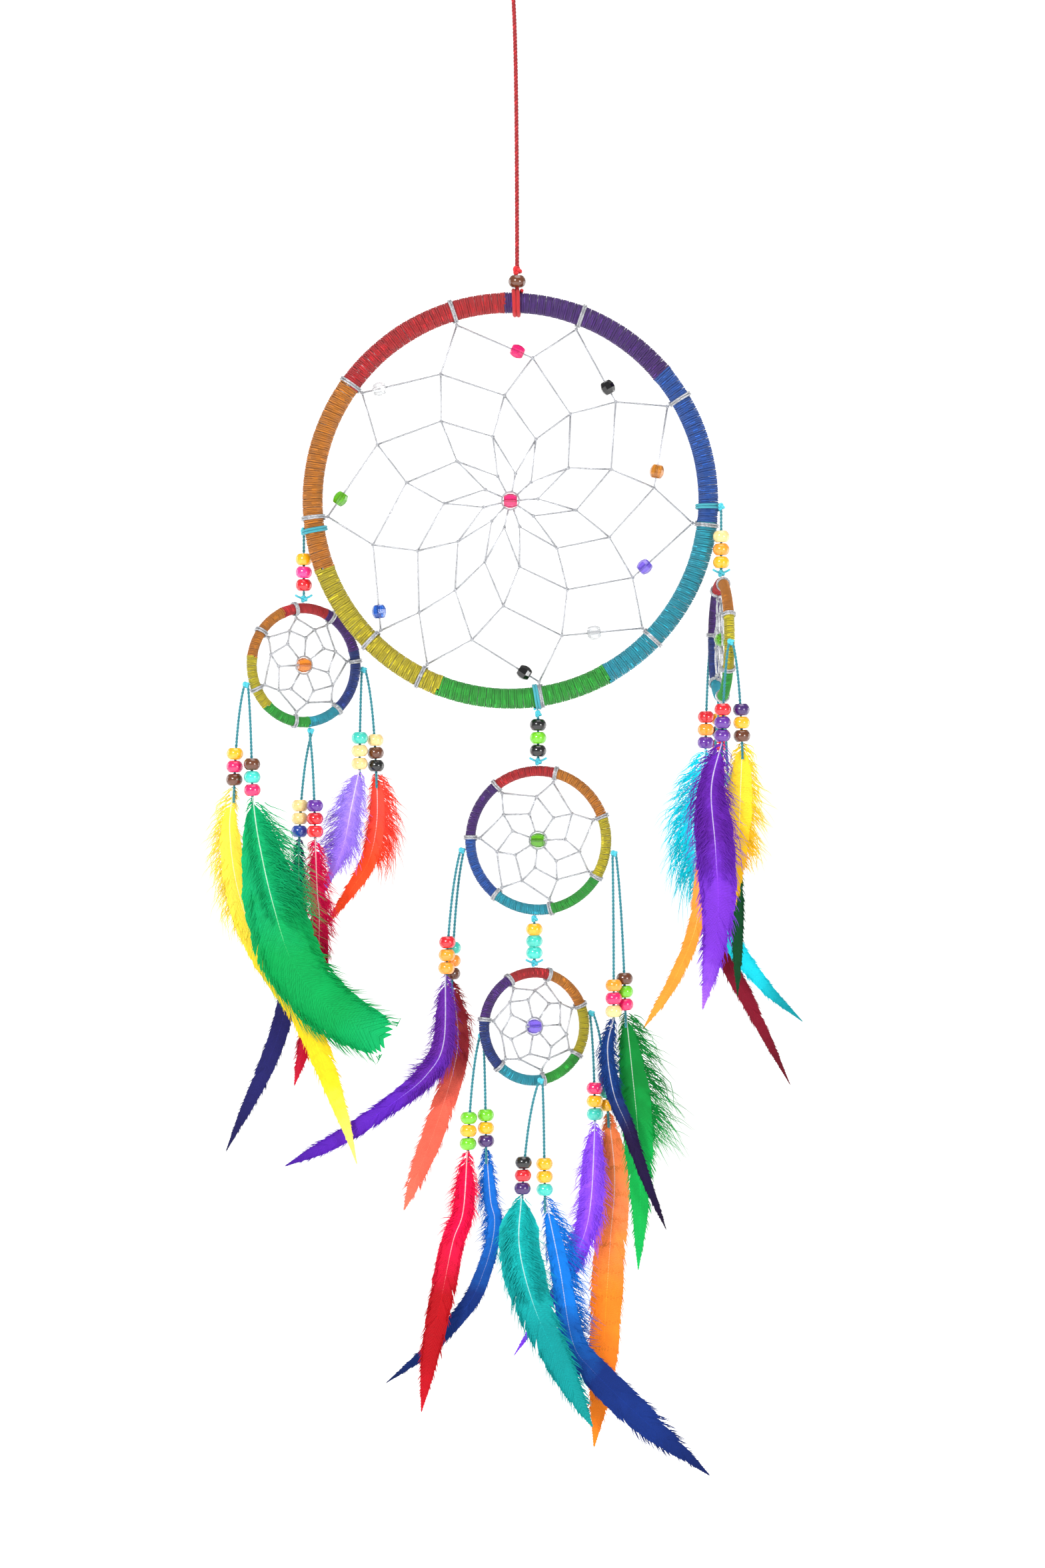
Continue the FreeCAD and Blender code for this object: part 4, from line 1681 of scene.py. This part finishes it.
def drops() -> list[Drop]:
    """The eleven drops, each with its two strands.

    Returns:
        The drops.
    """
    p = Paint
    return [
        Drop("left_hoop_left_drop", (
            Strand(-5.0, -2.5, 33, (p.YELLOW, p.MAGENTA, p.BROWN), Feather(
                ((-2, -21), (2, -50), (13, -79), (36, -116), (53, -161), (59, -181)),
                "ffe14a", "f7cf1c", "ffec7a", (10, 13, 12, 11, 6), 15, 7, 0.36)),
            Strand(2.6, 2.5, 38, (p.BROWN, p.AQUA, p.MAGENTA), Feather(
                ((3, -21), (10, -52), (20, -81), (38, -102), (65, -117)),
                "06a868", "009a4a", "02a45e", (15, 27, 30, 27, 21), 9, 26, 0.42, blunt=True)))),
        Drop("left_hoop_bottom_drop", (
            Strand(1.8, 2.5, 36, (p.PURPLE, p.RED, p.SCARLET), Feather(
                ((1, -26), (2, -41), (0, -77), (-10, -119)),
                "dc0a4e", "a8082e", "c41230", (6, 8, 9, 9, 6), 9, 10, 0.5)),
            Strand(-4.8, -2.5, 36, (p.CREAM, p.CREAM, p.NAVY), Feather(
                ((-1, -44), (-10, -95), (-35, -151)),
                "23206a", "1d1c5c", "161340", (7, 9, 9, 8, 5), 6, 6, 0.3)))),
        Drop("left_hoop_right_drop", (
            Strand(-1.6, 2.5, 33, (p.TEAL, p.CREAM, p.CREAM), Feather(
                ((-4, -19), (-8, -38), (-15, -53), (-21, -65)),
                "a88bf5", "a07af0", "7440d8", (7, 9, 7, 4, 2.5), 14, 11, 0.68)),
            Strand(5.1, -2.5, 34, (p.CREAM, p.BROWN, p.BLACK), Feather(
                ((0, -24), (-4, -43), (-13, -58), (-25, -75)),
                "ff4a3c", "ff4a1e", "ff5a24", (6, 8, 8, 6, 3), 7, 16, 0.5)))),
        Drop("upper_hoop_left_drop", (
            Strand(-6.2, 4.1, 44, (p.RED, p.ORANGE, p.ORANGE), Feather(
                ((-1, -33), (-9, -48), (-23, -60), (-48, -77), (-77, -92)),
                "6a2ba0", "5a1fb0", "3c0f86", (9, 11, 9, 8, 6), 9, 9, 0.48, splits=4)),
            Strand(-4.0, -4.1, 47, (p.TEAL, p.ORANGE, p.BROWN), Feather(
                ((3, -25), (1, -43), (-8, -72), (-15, -90), (-23, -111)),
                "96202e", "ee6650", "f4745c", (9, 11, 11, 10, 7), 8, 9, 0.38, splits=4)))),
        Drop("upper_hoop_right_drop", (
            Strand(-0.2, 2.5, 63, (p.ORANGE, p.MAGENTA, p.CREAM), Feather(
                ((-3, -15), (0, -36), (7, -53), (15, -76), (25, -101)),
                "123c80", "1c0c38", "160820", (6, 7, 6.5, 5, 3), 7, 6, 0.36)),
            Strand(4.2, -2.5, 60, (p.BROWN, p.GREEN, p.MAGENTA), Feather(
                ((3, -28), (6, -60), (7, -92), (6, -124)),
                "047a2e", "08a848", "06b052", (9, 15, 14, 9, 5), 10, 24, 0.5)))),
        Drop("lower_hoop_left_drop", (
            Strand(-5.4, 2.5, 39, (p.GREEN, p.YELLOW, p.GREEN), Feather(
                ((-2, -29), (-7, -44), (-13, -74), (-18, -99), (-22, -125)),
                "f50e4e", "ac0614", "c80c22", (9, 11, 12, 10, 6), 9, 8, 0.34)),
            Strand(1.8, -2.5, 38, (p.GREEN, p.YELLOW, p.PLUM), Feather(
                ((2, -25), (4, -34), (3, -45), (-1, -59), (-9, -76), (-29, -98), (-48, -113)),
                "1372d8", "082a70", "06133a", (6, 6, 8, 7, 4), 8, 6, 0.4)))),
        Drop("lower_hoop_bottom_drop", (
            Strand(-7.4, 2.5, 39, (p.BLACK, p.RED, p.PLUM), Feather(
                ((-1, -25), (6, -53), (18, -80), (28, -100), (34, -111)),
                "10b0ae", "069090", "0a8f8c", (19, 20, 17, 13, 8), 13, 13, 0.42, splits=4)),
            Strand(1.6, -2.5, 40, (p.YELLOW, p.YELLOW, p.AQUA), Feather(
                ((7, -34), (13, -69), (22, -83), (49, -109), (79, -134)),
                "0c7ce0", "0c2a72", "04124a", (8, 10, 14, 15, 8), 7, 16, 0.46, splits=4)))),
        Drop("lower_hoop_right_drop", (
            Strand(1.4, 2.5, 36, (p.MAGENTA, p.YELLOW, p.TEAL), Feather(
                ((-2, -38), (-6, -57), (-15, -76), (-39, -113)),
                "9a56f6", "8a44f0", "7a32e4", (10, 12, 9, 5, 3), 10, 10, 0.62)),
            Strand(6.8, -2.5, 32, (p.PLUM, p.TEAL, p.YELLOW), Feather(
                ((3, -32), (1, -61), (-1, -91), (-3, -124), (-7, -162)),
                "ff8a52", "ff8420", "f58018", (13, 15, 15.5, 14, 9), 6, 5, 0.14, bars=0.5)))),
        Drop("right_hoop_back_drop", (
            Strand(-2.6, 2.5, 35, (p.RED, p.ORANGE, p.PURPLE), Feather(
                ((-6, -44), (10, -88), (28, -114), (47, -132)),
                "12e6fa", "12c4d4", "0c8088", (7, 10, 10, 8, 5), 19, 10, 0.5)),
            Strand(3.4, -2.5, 36, (p.YELLOW, p.PLUM, p.RED), Feather(
                ((-8, -61), (4, -102), (14, -122), (34, -162)),
                "b00c34", "7a0c24", "4a0a18", (7, 9, 9, 7, 4), 9, 8, 0.4)))),
        Drop("right_hoop_bottom_drop", (
            Strand(-3.4, -2.5, 35, (p.MAGENTA, p.CREAM, p.ORANGE), Feather(
                ((-5, -38), (-9, -59), (-19, -82), (-33, -104)),
                "ffa244", "ff9230", "ff9836", (7, 8, 7, 6, 4), 6, 6, 0.3)),
            Strand(3.0, 2.5, 35, (p.TEAL, p.YELLOW, p.GREEN), Feather(
                ((3, -38), (4, -67), (4, -88)),
                "0b5a2c", "0a4a26", "083a1e", (7, 8, 7, 5, 3), 6, 6, 0.3)))),
        Drop("right_hoop_front_drop", (
            Strand(-3.6, 2.5, 32, (p.RED, p.PURPLE, p.PURPLE), Feather(
                ((-5, -22), (-3, -51), (-2, -85), (-9, -126)),
                "6422a4", "7430c4", "a868f2", (11, 18, 18, 13, 7), 15, 15, 0.5)),
            Strand(4.6, -2.5, 32, (p.PLUM, p.YELLOW, p.BROWN), Feather(
                ((-1, -27), (-2, -50), (-5, -73), (-12, -93)),
                "ffdc36", "ffc81e", "f79a26", (9, 12, 9, 6, 4), 12, 16, 0.58))))]


def main() -> None:
    """Build the piece from the top down, then its studio."""
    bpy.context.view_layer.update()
    for obj in bpy.data.objects:
        obj.select_set(False)
    PATTERNS["turned"] = BeadPattern(8 * MM, 5.6 * MM, 1.9 * MM).build("turned_bead")
    PATTERNS["large"] = BeadPattern(8.4 * MM, 5.8 * MM, 2.6 * MM, 28).build("large_bead")
    PATTERNS["cut"] = facet_pattern("cut_bead", 7 * MM)
    joints = {j["name"]: Vector(j["pos_m"]) for j in FRAME["joints"]}
    Studio(Vector((2.6, 0, -421)) * MM).build()
    Hanger().build()
    made = hoops()
    for hoop in made.values():
        hoop.build()
    for web in webs(made):
        web.build()
    RimTies(made["ring"]).build()
    p = Paint
    for seed, link in enumerate((
            Link("left_link", 32.3, 0.6, (p.YELLOW, p.PINK, p.RED)),
            Link("upper_link", 23.0, 0.5, (p.BLACK, p.GREEN, p.BLACK)),
            Link("lower_link", 21.4, 0.5, (p.YELLOW, p.TEAL, p.AQUA), 5.65),
            Link("right_link", 32.0, 0.64, (p.CREAM, p.ORANGE, p.YELLOW)))):
        link.build(joints[link.name + "_swing"], seed * 3)
    for seed, drop in enumerate(drops(), start=1):
        drop.build(joints[drop.name + "_swing"], seed)
    for pattern in PATTERNS.values():
        bpy.data.objects.remove(pattern)


if __name__ == "__main__":
    logging.basicConfig(level=logging.INFO, format="%(name)s: %(message)s")
    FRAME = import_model()
    WARDROBE = Wardrobe()
    PATTERNS: dict[str, bpy.types.Object] = {}
    CYAN_PLY = SpunThread("cyan_ply", Paint.SKY.linear, 45.0, shade=0.6)
    RED_PLY = SpunThread("red_ply", Paint.SCARLET.linear, 90.0)
    main()
